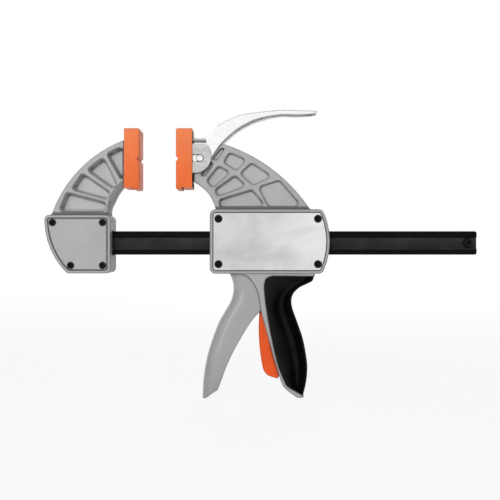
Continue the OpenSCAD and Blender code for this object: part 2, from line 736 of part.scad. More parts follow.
lever_top = lever_curve([[6.2, 11.6], [7.4, 19], [11.6, 26], [18.6, 32.2], [32.4, 38.7], [47.8, 41.9],
                         [70.5, 44.4], [89, 44.2], [102.4, 43.8]]);
lever_under = lever_curve([[102.8, 40.5], [87.6, 39], [70.5, 39], [50, 34.2], [34.4, 26.2],
                           [24.6, 18.3], [17.2, 10.6], [9.6, -0.6], [4.6, -7.4]]);
lever_tip = on_lever(104.5, 43);
cam_hub = [1.2, -1];         // centre of the lever's round end, from its pin
cam_hub_r = 7.8;
cam_nose = [-4.6, 1.5];      // centre of the cam nose, from the pin
cam_nose_r = 3.9;
web_start = 10;              // point of lever_top where the web across the fork begins

// Half the lever's width, from the pin to its tip, drawn in by i
function lever_plan(i) =
    let (x = lever_pin.x, a = lever_w / 2 - i, b = lever_handle_w / 2 - i)
    [[x - 14, a], [on_lever(44, 0).x, a], [on_lever(70, 0).x, b], [on_lever(120, 0).x, b],
     [on_lever(120, 0).x, -b], [on_lever(70, 0).x, -b], [on_lever(44, 0).x, -a], [x - 14, -a]];

module lever_side(w) {
    slab(concat(lever_top, [lever_tip], lever_under, [lever_pin]), w);
    rod(lever_pin + cam_hub, 2 * cam_hub_r, -w / 2, w / 2);
    rod(lever_pin + cam_nose, 2 * cam_nose_r, -w / 2, w / 2);
}

module lever_plan_prism(i) {
    translate([0, 0, lever_pin.y - 30]) linear_extrude(100) polygon(lever_plan(i));
}

module quick_release_lever() {
    web = [for (i = [web_start:len(lever_top) - 1]) lever_top[i]];
    color(CHROME) on_sliding_jaw() difference() {
        intersection() {
            lever_side(lever_w);
            lever_plan_prism(0);
        }
        intersection() {
            slab(concat([web[0] + [-32, 10], web[0] + [-32, -50]], [lever_pin + [60, -20]],
                        [on_lever(101, 20)], [on_lever(101, 41.4)],
                        reverse([for (p = web) if (p.x < on_lever(98, 0).x) p - [-0.3, lever_t]])), lever_w + 1);
            lever_plan_prism(lever_t);
        }
        rod(lever_pin, lever_pin_d + 2 * run, -lever_w, lever_w);
    }
}

// ---------------------------------------------------------------- moving pad and its carrier

cap_low = [pad_z - pad_h / 2 + 2, cheek_bottom - 0.4];
cap_high = [cheek_top + cap_gap, pad_z + pad_h / 2 - 2];

// Base plate inside the pad, two round side plates with the pin's slot, and a tab on top
module pad_carrier() {
    base_front = base_x + base_t;
    disc = [pad_back_x + 2.3, pad_z + 1.9];
    slot_z = lever_pin_d / 2 + slot_gap;
    color(STEEL) on_sliding_jaw() difference() {
        union() {
            bar_box(base_x, base_front, carrier_w, cap_low[0] + seat, cap_high[1] - seat);
            intersection() {
                union() {
                    rod(disc, 2 * cheek_r, -carrier_w / 2, carrier_w / 2);
                    bar_box(base_front - 0.5, disc.x, carrier_w, cheek_bottom, cheek_top);
                }
                bar_box(base_front - 0.5, disc.x + 20, carrier_w + 1, cheek_bottom, cheek_top);
            }
            bar_box(base_front - 0.5, base_front + tab_l, lever_w - 2 * lever_t - 0.8, tab_z, tab_z + tab_t);
        }
        bar_box(base_front, disc.x + 20, carrier_w - 2 * cheek_t, cheek_bottom - 1, cheek_top + 1);
        rod(lever_pin + [0.1, 0], 2 * slot_z, -carrier_w, carrier_w);
        bar_box(base_front, lever_pin.x + 0.1, carrier_w + 1, lever_pin.y - slot_z, lever_pin.y + slot_z);
        rivet_holes(base_x - 1);
    }
}

module moving_pad() {
    color(ORANGE) on_sliding_jaw() difference() {
        slab(rounded_box(-body_setback, pad_back_x, pad_z - pad_h / 2, pad_z + pad_h / 2, 1.5), pad_w);
        bar_box(base_x - seat, pad_back_x + 1, recess_w, cap_low[0], cap_high[1]);
        rivet_holes(-body_setback + 4);
        vee(-body_setback, -1);
    }
}

// Caps that close the pad's back above and below the carrier's side plates
module pad_end_caps() {
    color(BLACK) on_sliding_jaw() difference() {
        for (z = [cap_low, cap_high])
            bar_box(base_x + base_t + 0.05, pad_back_x - 0.05, carrier_w, z[0] + seat, z[1] - seat);
        rivet_holes(base_x);
    }
}

rivet_d = 3;
rivet_z = [(cap_low[0] + cap_low[1]) / 2, (cap_high[0] + cap_high[1]) / 2];

module rivet_shanks(x, d) {
    for (z = rivet_z) translate([x, 0, z]) rotate([0, 90, 0]) cylinder(d = d, h = pad_back_x + 3 - x);
}
module rivet_holes(x) { rivet_shanks(x, rivet_d + 2 * fit); }

module pad_rivets() {
    color(STEEL) on_sliding_jaw() {
        intersection() {
            rivet_shanks(-body_setback + 4.2, rivet_d);
            bar_box(-body_setback, pad_back_x + 0.1, pad_w, pad_z - pad_h, pad_z + pad_h);
        }
        for (z = rivet_z) translate([pad_back_x, 0, z]) rotate([0, 90, 0])
            cylinder(d = 2 * rivet_d, h = 0.35);
    }
}

bar();
bar_stop_pin();
fixed_jaw();
fixed_jaw_lock_pins();
fixed_jaw_front_cover();
fixed_jaw_rear_cover();
fixed_jaw_front_screws();
fixed_jaw_rear_screws();
fixed_pad();
sliding_jaw();
body_front_cover();
body_rear_cover();
body_front_screws();
body_rear_screws();
front_bar_guide();
rear_bar_guide();
handle_grip();
trigger_pivot_pin();
brake_hinge_pin();
drive_spring();
brake_spring();
lever_pin();
trigger();
push_pin();
front_drive_plate();
rear_drive_plate();
brake_plate();
release_lever();
release_lever_pin();
quick_release_lever();
pad_carrier();
moving_pad();
pad_end_caps();
pad_rivets();
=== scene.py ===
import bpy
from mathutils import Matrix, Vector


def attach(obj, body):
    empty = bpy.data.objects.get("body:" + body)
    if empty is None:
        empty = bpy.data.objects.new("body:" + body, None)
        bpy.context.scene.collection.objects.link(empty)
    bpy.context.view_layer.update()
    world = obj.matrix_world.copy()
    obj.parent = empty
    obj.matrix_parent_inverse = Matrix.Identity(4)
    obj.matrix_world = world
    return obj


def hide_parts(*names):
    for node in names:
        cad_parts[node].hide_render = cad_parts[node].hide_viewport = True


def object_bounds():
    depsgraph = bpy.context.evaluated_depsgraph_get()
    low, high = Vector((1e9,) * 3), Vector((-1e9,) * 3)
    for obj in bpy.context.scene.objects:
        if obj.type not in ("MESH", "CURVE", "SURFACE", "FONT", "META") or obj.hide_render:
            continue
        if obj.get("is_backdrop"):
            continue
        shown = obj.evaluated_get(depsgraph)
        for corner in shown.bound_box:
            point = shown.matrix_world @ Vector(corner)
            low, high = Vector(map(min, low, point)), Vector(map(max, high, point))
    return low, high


bl_info = {
    "name": "Quick Release Bar Clamp",
    "version": (1, 0, 0),
    "blender": (4, 5, 0),
    "location": "View3D > Sidebar > Bar Clamp",
    "description": "Dresses the clamp's frame with castings, covers, pads, levers, bar and grip",
    "category": "Add Mesh",
}

import bmesh
import bpy
import numpy as np
from bpy.props import FloatProperty, FloatVectorProperty, PointerProperty
from mathutils import Vector
from mathutils.geometry import tessellate_polygon

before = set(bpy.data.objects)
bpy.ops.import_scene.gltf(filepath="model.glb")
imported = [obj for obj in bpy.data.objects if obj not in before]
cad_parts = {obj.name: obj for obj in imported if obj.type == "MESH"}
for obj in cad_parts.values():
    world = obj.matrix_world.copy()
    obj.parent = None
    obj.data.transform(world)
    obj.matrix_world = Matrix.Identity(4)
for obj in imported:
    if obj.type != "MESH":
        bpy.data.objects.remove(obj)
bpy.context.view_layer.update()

# Lengths in the shape functions are millimetres, in the frame's axes: X along the bar from the
# fixed pad's face, Z up from the bar's centreline, Y = 0 the plane of symmetry.
MM = 0.001
JAW_X = 62.3          # front end of the sliding body; its pieces are drawn from there
PAD_Z = 74.5          # middle of the pads
BAR_TOP = 10.5        # half the bar's height
BLOCK_TOP, BLOCK_BOTTOM, BLOCK_X0, BLOCK_X1 = 24.7, -26.9, -83.4, -25.4     # the fixed jaw's
BODY_TOP, BODY_BOTTOM, BODY_L = 29.6, -27.2, 105.8                          # the sliding jaw's
HALF_W = 15.0         # half the width of the block and the body
COVER_T = 3.0         # thickness of the covers
RIM = 3.1             # casting's edge to the cover plate's edge
BLOCK_SCREWS = [(-76.4, 17.9), (-32.2, 17.9), (-60.4, -19.9), (-32.2, -19.9)]
BODY_SCREWS = [(7.6, 21.2), (95.3, 21.2), (7.6, -18.8), (95.3, -18.8)]
FIXED_ARM_HALF, SLIDING_ARM_HALF = 12.7, 8.5      # half the width of the arms
LEVER_PIN = (-9.0, 75.0)
TRIGGER_PIN = (23.7, -14.5)
SUPPORT = 0.1         # flat strip between a face and the rounding beside it
DUST = (0.62, 0.6, 0.57)      # colour of the dust


# ------------------------------------------------------------------ plane curves

def arc(p, q, r, side=1, n=40):
    """Arc of radius r from p to q: centre c on the perpendicular of the chord, then c + r(cos, sin)
    of an angle that goes evenly from p's to q's."""
    p, q = np.array(p, float), np.array(q, float)
    u = (q - p) / np.linalg.norm(q - p)
    c = (p + q) / 2 + side * np.array((-u[1], u[0])) * np.sqrt(r * r - np.sum((q - p) ** 2) / 4)
    a0, a1 = (np.arctan2(v[1], v[0]) for v in (p - c, q - c))
    a = a0 + ((a1 - a0 + 3 * np.pi) % (2 * np.pi) - np.pi) * np.linspace(0, 1, n + 1)
    return c + r * np.stack((np.cos(a), np.sin(a)), 1)


def spline(keys, n=10):
    """Smooth curve through the keys: between two of them a cubic whose slope at each key is half
    the step between that key's neighbours."""
    k = np.array(keys, float)
    i = np.arange(len(k) - 1)
    a, b, c, d = (k[np.clip(i + s, 0, len(k) - 1)][:, None] for s in (-1, 0, 1, 2))
    t = (np.arange(n) / n)[None, :, None]
    square, cube = 2 * a - 5 * b + 4 * c - d, 3 * b - a - 3 * c + d
    p = (2 * b + (c - a) * t + square * t ** 2 + cube * t ** 3) / 2
    return np.concatenate((p.reshape(-1, k.shape[1]), k[-1:]))


def rounded(corners, n=8):
    """Closed outline with corner b, of neighbours a and c, replaced by the arc of its radius that
    touches both edges: centre b + (u + v) scaled to d / cos(half), with d the length it takes, at
    most 0.45 of either edge."""
    k = np.array(corners, float)
    b, r = k[:, :2], k[:, 2]
    to_a, to_c = np.roll(b, 1, 0) - b, np.roll(b, -1, 0) - b
    la, lc = np.linalg.norm(to_a, axis=1), np.linalg.norm(to_c, axis=1)
    u, v = to_a / la[:, None], to_c / lc[:, None]
    half = np.arccos(np.clip(np.sum(u * v, 1), -0.99999, 0.99999)) / 2
    d = np.minimum(np.minimum(r / np.tan(half), 0.45 * la), 0.45 * lc)
    m = (u + v) / np.linalg.norm(u + v, axis=1)[:, None]
    c = b + m * (d / np.cos(half))[:, None]
    p, q = b + u * d[:, None] - c, b + v * d[:, None] - c
    a0 = np.arctan2(p[:, 1], p[:, 0])
    turn = (np.arctan2(q[:, 1], q[:, 0]) - a0 + 3 * np.pi) % (2 * np.pi) - np.pi
    a = a0[:, None] + turn[:, None] * np.linspace(0, 1, n + 1)
    radius = np.linalg.norm(p, axis=1)[:, None, None]
    ring = (c[:, None] + radius * np.stack((np.cos(a), np.sin(a)), -1)).reshape(-1, 2)
    return ring[np.linalg.norm(ring - np.roll(ring, 1, 0), axis=1) > 1e-4]


def resample(line, step, closed=True):
    """Points at even distances of about step along a line."""
    pts = np.concatenate((line, line[:1])) if closed else np.asarray(line, float)
    s = np.concatenate(([0], np.cumsum(np.linalg.norm(np.diff(pts, axis=0), axis=1))))
    n = max(int(np.ceil(s[-1] / step)), 8)
    t = np.arange(n) * s[-1] / n if closed else np.linspace(0, s[-1], n + 1)
    return np.stack([np.interp(t, s, pts[:, i]) for i in range(pts.shape[1])], 1)


def area(loop):
    """Signed area of a closed loop: half the sum of the cross products of neighbours."""
    nxt = np.roll(loop, -1, 0)
    return 0.5 * np.sum(loop[:, 0] * nxt[:, 1] - nxt[:, 0] * loop[:, 1])


def left_turning(loop):
    return loop if area(loop) > 0 else loop[::-1]


def inset(loop, d):
    """Closed left-turning loop drawn in by d: each point moves along the sum of its two edges'
    inward normals, scaled so that both edges move by d, or less at a very sharp corner."""
    e = np.roll(loop, -1, 0) - loop
    n = np.stack((-e[:, 1], e[:, 0]), 1) / np.linalg.norm(e, axis=1)[:, None]
    m = n + np.roll(n, 1, 0)
    scale = (2 / np.maximum(np.sum(m * m, 1), 0.4))[:, None]
    return loop + np.broadcast_to(d, len(loop))[:, None] * m * scale


def circle(at, r, n):
    a = np.arange(n) * 2 * np.pi / n
    return np.array(at) + r * np.stack((np.cos(a), np.sin(a)), 1)


def smooth(x, lo, hi):
    """0 below lo, 1 above hi, and a cubic ease between."""
    t = np.clip((np.asarray(x, float) - lo) / (hi - lo), 0, 1)
    return t * t * (3 - 2 * t)


# ------------------------------------------------------------------ outlines of the clamp

def block_outline(i):
    """Fixed block: three straight sides and an arc of radius 66 for the rounded left end, drawn in
    by i."""
    r = max(4.5 - i, 1.5)
    p, q = (BLOCK_X0 + i, BLOCK_TOP - 5.4), (BLOCK_X1 - 38 + 0.4 * i, BLOCK_BOTTOM + i)
    side = [(x, z, 0) for x, z in arc(p, q, 66 - i, 1, 6)[1:-1]]
    x0, x1, z0, z1 = BLOCK_X0 + i - 0.5, BLOCK_X1 - i, BLOCK_BOTTOM + i, BLOCK_TOP - i
    return left_turning(rounded([(x1, z1, r), (x0, z1, r), *side, (*q, r), (x1, z0, r)]))


def body_outline(i):
    """Sliding body: a box whose right end is an arc, drawn in by i."""
    r, z0, z1, end_r = max(5 - i, 1.5), BODY_BOTTOM + i, BODY_TOP - i, 64.8
    z = np.linspace(z0, z1, 7)
    x = BODY_L - end_r + np.sqrt((end_r - i) ** 2 - (z - (BODY_TOP + BODY_BOTTOM) / 2) ** 2)
    end = [(a, b, r if k in (0, 6) else 0) for k, (a, b) in enumerate(zip(x, z))]
    return left_turning(rounded([(i, z1, r), (i, z0, r), *end]))


# An arm is its inner and its outer edge, each an arc from the foot to the tip.
FIXED_ARM = [arc((-28.2, 22.7), (-13.8, 55.4), 36, -1), arc((-78.6, 22.7), (-13.8, 90.9), 108, -1)]
SLIDING_ARM = [arc((5.3, 27.6), (-14.3, 54.6), 38), arc((90.3, 27.6), (12.2, 88.0), 145)]
FIXED_POCKETS = [
    [(.055, .90), (.267, .92), (.33, .06), (.124, .05)],
    [(.30, .875), (.505, .90), (.573, .065), (.396, .05)],
    [(.549, .875), (.767, .86), (.80, .055), (.66, .05)],
    [(.804, .885), (.99, .88), (.985, .06), (.91, .09)]]
SLIDING_POCKETS = [
    [(.055, .94), (.385, .94), (.367, .63), (.071, .575)],
    [(.44, .91), (.674, .89), (.626, .595), (.403, .59)],
    [(.727, .89), (.906, .875), (.871, .62), (.674, .605)],
    [(.964, .92), (1., .89), (.999, .60), (.94, .595)],
    [(.072, .56), (.354, .545), (.306, .08), (.108, .05)],
    [(.421, .53), (.637, .53), (.56, .12), (.373, .075)],
    [(.70, .53), (.882, .53), (.824, .145), (.595, .10)],
    [(.944, .515), (1., .545), (.984, .17), (.889, .20)]]


def on_arm(arm, along, across):
    """Point of an arm: the same share along both edges, then a share across from the inner one."""
    k = along * (len(arm[0]) - 1)
    a, b = (np.array([np.interp(k, np.arange(len(e)), e[:, j]) for j in (0, 1)]) for e in arm)
    return a + (b - a) * across


def arm_pocket(arm, corners):
    return left_turning(resample(rounded([(*on_arm(arm, *c), 3.2) for c in corners]), 0.7))


def on_handle(keys):
    """Curve on the handle, whose keys are x along the body and the drop below it."""
    k = np.array(keys, float)
    return spline(np.stack((k[:, 0], BODY_BOTTOM - k[:, 1]), 1))


GRIP_FRONT = on_handle([
    (54.8, 2.2), (50, 4.2), (48.1, 9.2), (48.1, 16.2), (49.4, 27.8), (52.2, 45.5), (55.8, 63.2),
    (60.2, 80.8), (65.4, 94.1), (69, 99.8), (82.7, 107.8)])
GRIP_BACK = on_handle([
    (92.8, 2.2), (91.4, 6.6), (86.6, 9.3), (80, 12.4), (74.6, 17.6), (72.6, 23.6), (73.4, 31),
    (77.7, 43.4), (82.9, 58.9), (86.4, 78.4), (86.5, 90), (85, 100.2), (82.7, 107.8)])
TRIGGER_FRONT = np.concatenate((
    [(17.7, -14.5), (17.5, -19), (17.3, -23.5)],
    on_handle([(17.2, .4), (20, 8), (20.4, 16), (18.4, 24.2), (13.3, 33.5), (8.2, 42.2),
               (3.3, 54.2), (-.7, 66), (-3.6, 77), (-6.4, 94.3), (-7.3, 112.2)])))
TRIGGER_BACK = np.concatenate((
    [(31.8, -20.5)],
    on_handle([(36, -2), (41, 7), (46, 17), (48, 26), (44.4, 33.2), (37.5, 41.3), (29.8, 53.1),
               (20.3, 70), (14, 84), (9.9, 95.2), (6.8, 103.2)])))
RELEASE_OUTLINE = np.concatenate((
    on_handle([(44.4, 16.5), (43.7, 35.3), (43.2, 51.6), (44.1, 67), (46.1, 80.9), (48, 87.4),
               (52, 91.4), (59.9, 93.9)]),
    on_handle([(62.2, 90.6), (62, 80.8), (60, 66.8), (57.5, 51.8), (56, 34.8), (54.5, 18),
               (53, 15.6)])))
# Both edges of the quick release lever, from its cam nose to its tip, measured from its pin
LEVER_TOP = spline([
    (-8.5, 1.5), (-7.4, 4.2), (-4.6, 5.4), (-1.5, 6.3), (1.8, 6.9), (4.4, 8.4), (6.2, 11.6),
    (7.4, 19), (11.6, 26), (18.6, 32.2), (32.4, 38.7), (47.8, 41.9), (70.5, 44.4), (89, 44.2),
    (102.4, 43.8), (104.4, 43.1)])
LEVER_UNDER = spline([
    (-8.5, 1.5), (-7.3, -1.6), (-5.6, -4.9), (-2.7, -7.7), (1.2, -8.8), (5.1, -7.7), (7.9, -4.9),
    (9.8, -.6), (17.2, 10.6), (24.6, 18.3), (34.4, 26.2), (50, 34.2), (70.5, 39), (87.6, 39),
    (102.8, 40.5), (104.4, 42.5)])


# ------------------------------------------------------------------ skins

class Skin:
    """Grids and flat caps of one piece, gathered as arrays and then made one mesh."""

    def __init__(self):
        self.points, self.faces, self.count = [], [], 0

    def add(self, points):
        self.points.append(np.asarray(points, float).reshape(-1, 3))
        start = self.count
        self.count += len(self.points[-1])
        return start

    def grid(self, p, wrap=True, keep=None):
        """Quads between neighbours of the point grid p, whose rows are closed where wrap is set."""
        p = np.asarray(p, float)
        i = np.arange(p.shape[0] * p.shape[1]).reshape(p.shape[:2]) + self.add(p)
        if wrap:
            i = np.concatenate((i, i[:, :1]), 1)
        quads = np.stack((i[:-1, :-1], i[:-1, 1:], i[1:, 1:], i[1:, :-1]), -1)
        self.faces += (quads.reshape(-1, 4) if keep is None else quads[keep]).tolist()

    def cap(self, *loops):
        """Flat face inside the first loop and outside the others, as triangles."""
        start = self.add(np.concatenate(loops))
        triangles = tessellate_polygon([[Vector(v) for v in loop.tolist()] for loop in loops])
        self.faces += [[start + k for k in t] for t in triangles]


def at_y(loop, y):
    """Loop in the XZ plane, put at y, which may differ from point to point."""
    return np.stack((loop[:, 0], np.broadcast_to(y, len(loop)), loop[:, 1]), 1)


def hollow(skin, loop, face, floor, lip, reach):
    """Pocket from the face's y down to the floor's y. Loops go from a rounded lip, a quarter circle
    outside the outline, down a drafted wall that leans in, to a quarter circle at the floor. reach
    is how far the wall and its foot come in, or less in a narrow pocket. Returns the lip's loop,
    which the face around it ends at."""
    s, depth = np.sign(floor - face), abs(floor - face)
    girth = np.sum(np.linalg.norm(np.diff(loop, axis=0), axis=1))
    reach = min(reach, 1.5 * abs(area(loop)) / girth)
    foot = 0.55 * reach
    t = np.linspace(0, np.pi / 2, 5)
    inwards = (-lip * (1 - np.sin(t)), reach - foot * np.cos(t))
    inwards = np.concatenate(([-lip - SUPPORT], *inwards, [reach + SUPPORT]))
    down = np.concatenate(([0], lip * (1 - np.cos(t)), depth - foot * (1 - np.sin(t)), [depth]))
    rings = [at_y(inset(loop, a), face + s * d) for a, d in zip(inwards, down)]
    skin.grid(rings)
    skin.cap(rings[-1])
    return rings[0]


def slab(skin, loop, y0, y1, r, holes=((), ()), steps=4, belly=0.0):
    """Plate between y0 and y1 with its outline's edges rounded: the section r(1 - cos t) in from
    the outline and r(1 - sin t) below each face is carried along the outline. holes are the loops
    that each face goes round. Between the edges the side stands out by belly (1 - u^4), with u from
    -1 at one edge to 1 at the other, and belly may differ from point to point."""
    t = np.linspace(0, np.pi / 2, steps + 1)
    rings = [at_y(inset(loop, r + SUPPORT), y0)]
    rings += [at_y(inset(loop, r * (1 - np.cos(a))), y0 + r * (1 - np.sin(a))) for a in t[::-1]]
    u = np.linspace(-1, 1, 11) if np.any(belly) else (-1, 1)
    room = max((y1 - y0) / 2 - r - SUPPORT, 0)
    rings += [at_y(inset(loop, -belly * (1 - v ** 4)), (y0 + y1) / 2 + v * room) for v in u]
    rings += [at_y(inset(loop, r * (1 - np.cos(a))), y1 - r * (1 - np.sin(a))) for a in t]
    rings += [at_y(inset(loop, r + SUPPORT), y1)]
    skin.grid(rings)
    skin.cap(rings[0], *holes[0])
    skin.cap(rings[-1], *holes[1])


def turned(skin, profile, at, axis="y", n=36, hexed=()):
    """Profile of (along, radius) pairs turned about an axis through at. Rings named in hexed are
    six-sided: their radius is divided by the cosine of the angle to the nearest flat's middle."""
    a = np.arange(n) * 2 * np.pi / n
    six = 1 / np.cos((a + np.pi / 6) % (np.pi / 3) - np.pi / 6)
    rings = []
    for k, (along, r) in enumerate(profile):
        rr = r * (six if k in hexed else 1)
        u, v, w = at[0] + rr * np.cos(a), at[1] + rr * np.sin(a), np.full(n, along)
        rings.append(np.stack((u, w, v) if axis == "y" else (w, u, v), 1))
    skin.grid(rings)


def channel(skin, near, far, half, depth, crown, web, n=16, power=0.8, rim=0.0):
    """Sheet bent over a path into a U. At each step the section starts on the far edge, runs up one
    side to the near edge, over it and down the other side. Near the edge it is a quarter of a
    rounded square, depth deep and half wide, whose sine and cosine are raised to power, and the
    web's middle stands out by a fifth of crown. The last rim of each side turns in by a quarter
    circle. web says at which steps the near edge is closed. Elsewhere only the two sides stand."""
    a = np.linspace(0, np.pi / 2, n)
    half, span = half[:, None], np.linalg.norm(far - near, axis=1)[:, None]
    d = np.minimum(depth, 0.7 * span)
    y = np.sin(a)[None] ** power * half
    w = d * (1 - np.cos(a)[None] ** power) + crown * (y / half) ** 2 * 0.2
    wall = np.linspace(0, 1, 6)[1:]
    bend = np.linspace(0, np.pi / 2, 6)[1:] if rim else np.array([np.pi / 2])
    rim = np.minimum(rim, 0.35 * (span - w[:, -1:]))
    foot = span - rim
    y = np.concatenate((y, np.repeat(half, len(wall), 1), half - rim * (1 - np.cos(bend))), 1)
    w = np.concatenate((w, w[:, -1:] + (foot - w[:, -1:]) * wall, foot + rim * np.sin(bend)), 1)
    w /= np.maximum(span, 1e-6)
    w = np.concatenate((w[:, :0:-1], w), 1)
    y = np.concatenate((-y[:, :0:-1], y), 1)
    xz = near[:, None] + (far - near)[:, None] * w[..., None]
    p = np.stack((xz[..., 0], y, xz[..., 1]), -1)
    keep = np.ones((p.shape[0] - 1, p.shape[1] - 1), bool)
    middle = p.shape[1] // 2
    keep[~web[:-1], middle - n + 3:middle + n - 3] = False
    skin.grid(p, wrap=False, keep=keep)


# ------------------------------------------------------------------ pieces

def make(name, skin, body, nodes, look, x=0.0, facet=34, sheet=False):
    """Piece from a skin, moved by x along the bar, with its seams merged and its faces turned
    outwards. look is a slot and a finish, and edges over facet degrees stay sharp. A sheet's faces
    are turned by the one furthest to the rear."""
    mesh = bpy.data.meshes.new(name)
    points = (np.concatenate(skin.points) + (x, 0, 0)) * MM
    mesh.from_pydata(points, [], skin.faces)
    bm = bmesh.new()
    bm.from_mesh(mesh)
    bmesh.ops.remove_doubles(bm, verts=bm.verts, dist=3e-6)
    bmesh.ops.delete(bm, geom=[v for v in bm.verts if not v.link_faces], context="VERTS")
    bmesh.ops.recalc_face_normals(bm, faces=bm.faces)
    if sheet and max(bm.faces, key=lambda f: f.calc_center_median().y).normal.y < 0:
        bmesh.ops.reverse_faces(bm, faces=bm.faces)
    bm.to_mesh(mesh)
    bm.free()
    return place(name, mesh, body, nodes, look, facet)


def place(name, mesh, body, nodes, look, facet):
    """Object of a mesh, on its body and in place of its nodes, with its finish."""
    slot, finish_name = look
    mesh.shade_smooth()
    mesh.set_sharp_from_angle(angle=np.radians(facet))
    piece = bpy.data.objects.new(name, mesh)
    bpy.context.scene.collection.objects.link(piece)
    mesh.materials.clear()
    mesh.materials.append(finish(finish_name))
    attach(piece, body)
    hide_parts(*nodes)
    return piece


def bevel(piece, width, segments=3, angle=35):
    """Rounds the edges at which the faces turn by more than angle degrees."""
    mod = piece.modifiers.new("Edges", "BEVEL")
    mod.width = width * MM
    mod.segments = segments
    mod.limit_method = "ANGLE"
    mod.angle_limit = np.radians(angle)
    mod.harden_normals = True


def from_frame(name, node, body, look, width, top=None):
    """Copy of a frame node with its flat faces merged and its edges bevelled by width. Where top is
    given, what stands on that height is cut off."""
    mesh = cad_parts[node].data.copy()
    mesh.name = name
    bm = bmesh.new()
    bm.from_mesh(mesh)
    bmesh.ops.remove_doubles(bm, verts=bm.verts, dist=2e-6)
    if top is not None:
        just_under = (0, 0, (top - 0.01) * MM)
        every = bm.verts[:] + bm.edges[:] + bm.faces[:]
        bmesh.ops.bisect_plane(bm, geom=every, plane_co=just_under, plane_no=(0, 0, 1),
                               clear_outer=True)
        open_edges = [e for e in bm.edges if len(e.link_faces) == 1]
        bmesh.ops.triangle_fill(bm, edges=open_edges, use_beauty=True)
        bmesh.ops.recalc_face_normals(bm, faces=bm.faces)
    bmesh.ops.dissolve_limit(bm, angle_limit=np.radians(0.5), verts=bm.verts, edges=bm.edges)
    bm.to_mesh(mesh)
    bm.free()
    bevel(place(name, mesh, body, [node], look, 30), width)


# ------------------------------------------------------------------ materials

def rgba(colour, k=1.0):
    """Colour times k, with full alpha."""
    return (*(c * k for c in colour), 1.0)


class Graph:
    """Short hand for building a node tree."""

    def __init__(self, tree):
        self.tree = tree

    def feed(self, socket, value):
        """Links a socket to an output, or sets it to a number or a colour."""
        if isinstance(value, bpy.types.NodeSocket):
            self.tree.links.new(value, socket)
        else:
            socket.default_value = value

    def node(self, kind, out=0, **inputs):
        """New node of a kind. A word in lower case is a setting, I and a number is the input at
        that place, and any other word is the input of that name. Returns the output asked for."""
        made = self.tree.nodes.new("ShaderNode" + kind)
        for key, value in inputs.items():
            if key.islower():
                setattr(made, key, value)
            elif key[1:].isdigit():
                self.feed(made.inputs[int(key[1:])], value)
            else:
                self.feed(made.inputs[key.replace("_", " ")], value)
        return made.outputs[out]

    def math(self, operation, a, b=0.0, clamp=False):
        return self.node("Math", operation=operation, use_clamp=clamp, I0=a, I1=b)

    def times(self, a, b, clamp=False):
        return self.math("MULTIPLY", a, b, clamp)

    def between(self, value, lo, hi, to_lo=0.0, to_hi=1.0):
        """Value carried from the range lo to hi to the range to_lo to to_hi, and kept in it."""
        return self.node("MapRange", I0=value, I1=lo, I2=hi, I3=to_lo, I4=to_hi)

    def mix(self, share, a, b, blend="MIX"):
        made = self.tree.nodes.new("ShaderNodeMix")
        made.data_type = "RGBA"
        made.blend_type = blend
        for k, value in ((0, share), (6, a), (7, b)):
            self.feed(made.inputs[k], value)
        return made.outputs[2]

    def scaled(self, colour, k):
        """Colour times k, which is one number or one for each channel."""
        return self.mix(1.0, colour, rgba(k if isinstance(k, tuple) else (k, k, k)), "MULTIPLY")

    def at(self, axis):
        """X, Y or Z of the point in the piece's own metres, for an axis of 0, 1 or 2."""
        return self.node("SeparateXYZ", out=axis, Vector=self.node("TexCoord", out=3))

    def facing(self, axis):
        """X, Y or Z of the direction that the surface faces, for an axis of 0, 1 or 2."""
        return self.node("SeparateXYZ", out=axis, Vector=self.node("NewGeometry", out=1))

    def noise(self, scale, stretch=(1, 1, 1), **more):
        """Noise over the piece's own coordinates, each of them times its stretch."""
        where = self.node("Mapping", I3=stretch, Vector=self.node("TexCoord", out=3))
        return self.node("TexNoise", Vector=where, Scale=scale, **more)

    def openness(self, reach, **settings):
        """Share of the directions in which nothing lies within reach."""
        return self.node("AmbientOcclusion", out=1, samples=8, **settings, Distance=reach)

    def use(self, group_tree, **inputs):
        """Places a group with its own values, and returns its outputs."""
        made = self.tree.nodes.new("ShaderNodeGroup")
        made.node_tree = group_tree
        for key, value in inputs.items():
            self.feed(made.inputs[key.replace("_", " ")], value)
        return made.outputs


def group(name, inputs, build):
    """Shader group of a name, built once. inputs are its numbers with their defaults, and build
    returns its outputs by name."""
    tree = bpy.data.node_groups.get(name)
    if tree:
        return tree
    tree = bpy.data.node_groups.new(name, "ShaderNodeTree")
    sockets = tree.interface.new_socket
    for label, default in inputs.items():
        sockets(label, in_out="INPUT", socket_type="NodeSocketFloat").default_value = default
    outputs = build(Graph(tree), tree.nodes.new("NodeGroupInput").outputs)
    for label in outputs:
        sockets(label, in_out="OUTPUT", socket_type="NodeSocketFloat")
    result = tree.nodes.new("NodeGroupOutput")
    for label, value in outputs.items():
        tree.links.new(value, result.inputs[label])
    return tree


def cast_grain():
    """Fine pits and soft unevenness of a cast or moulded surface, with a slow mottle."""
    def build(g, given):
        pits = g.noise(given["Grain Scale"], Detail=4.0, Roughness=0.6)
        swell = g.noise(g.times(given["Grain Scale"], 0.12), Detail=2.0)
        slow = g.noise(given["Mottle Scale"], Detail=3.0, Roughness=0.5)
        return {"Height": g.math("ADD", pits, g.times(swell, 1.5)),
                "Mottle": g.between(slow, 0.35, 0.65), "Specks": g.between(pits, 0.62, 0.75)}
    return group("Cast Grain", {"Grain Scale": 1600.0, "Mottle Scale": 45.0}, build)


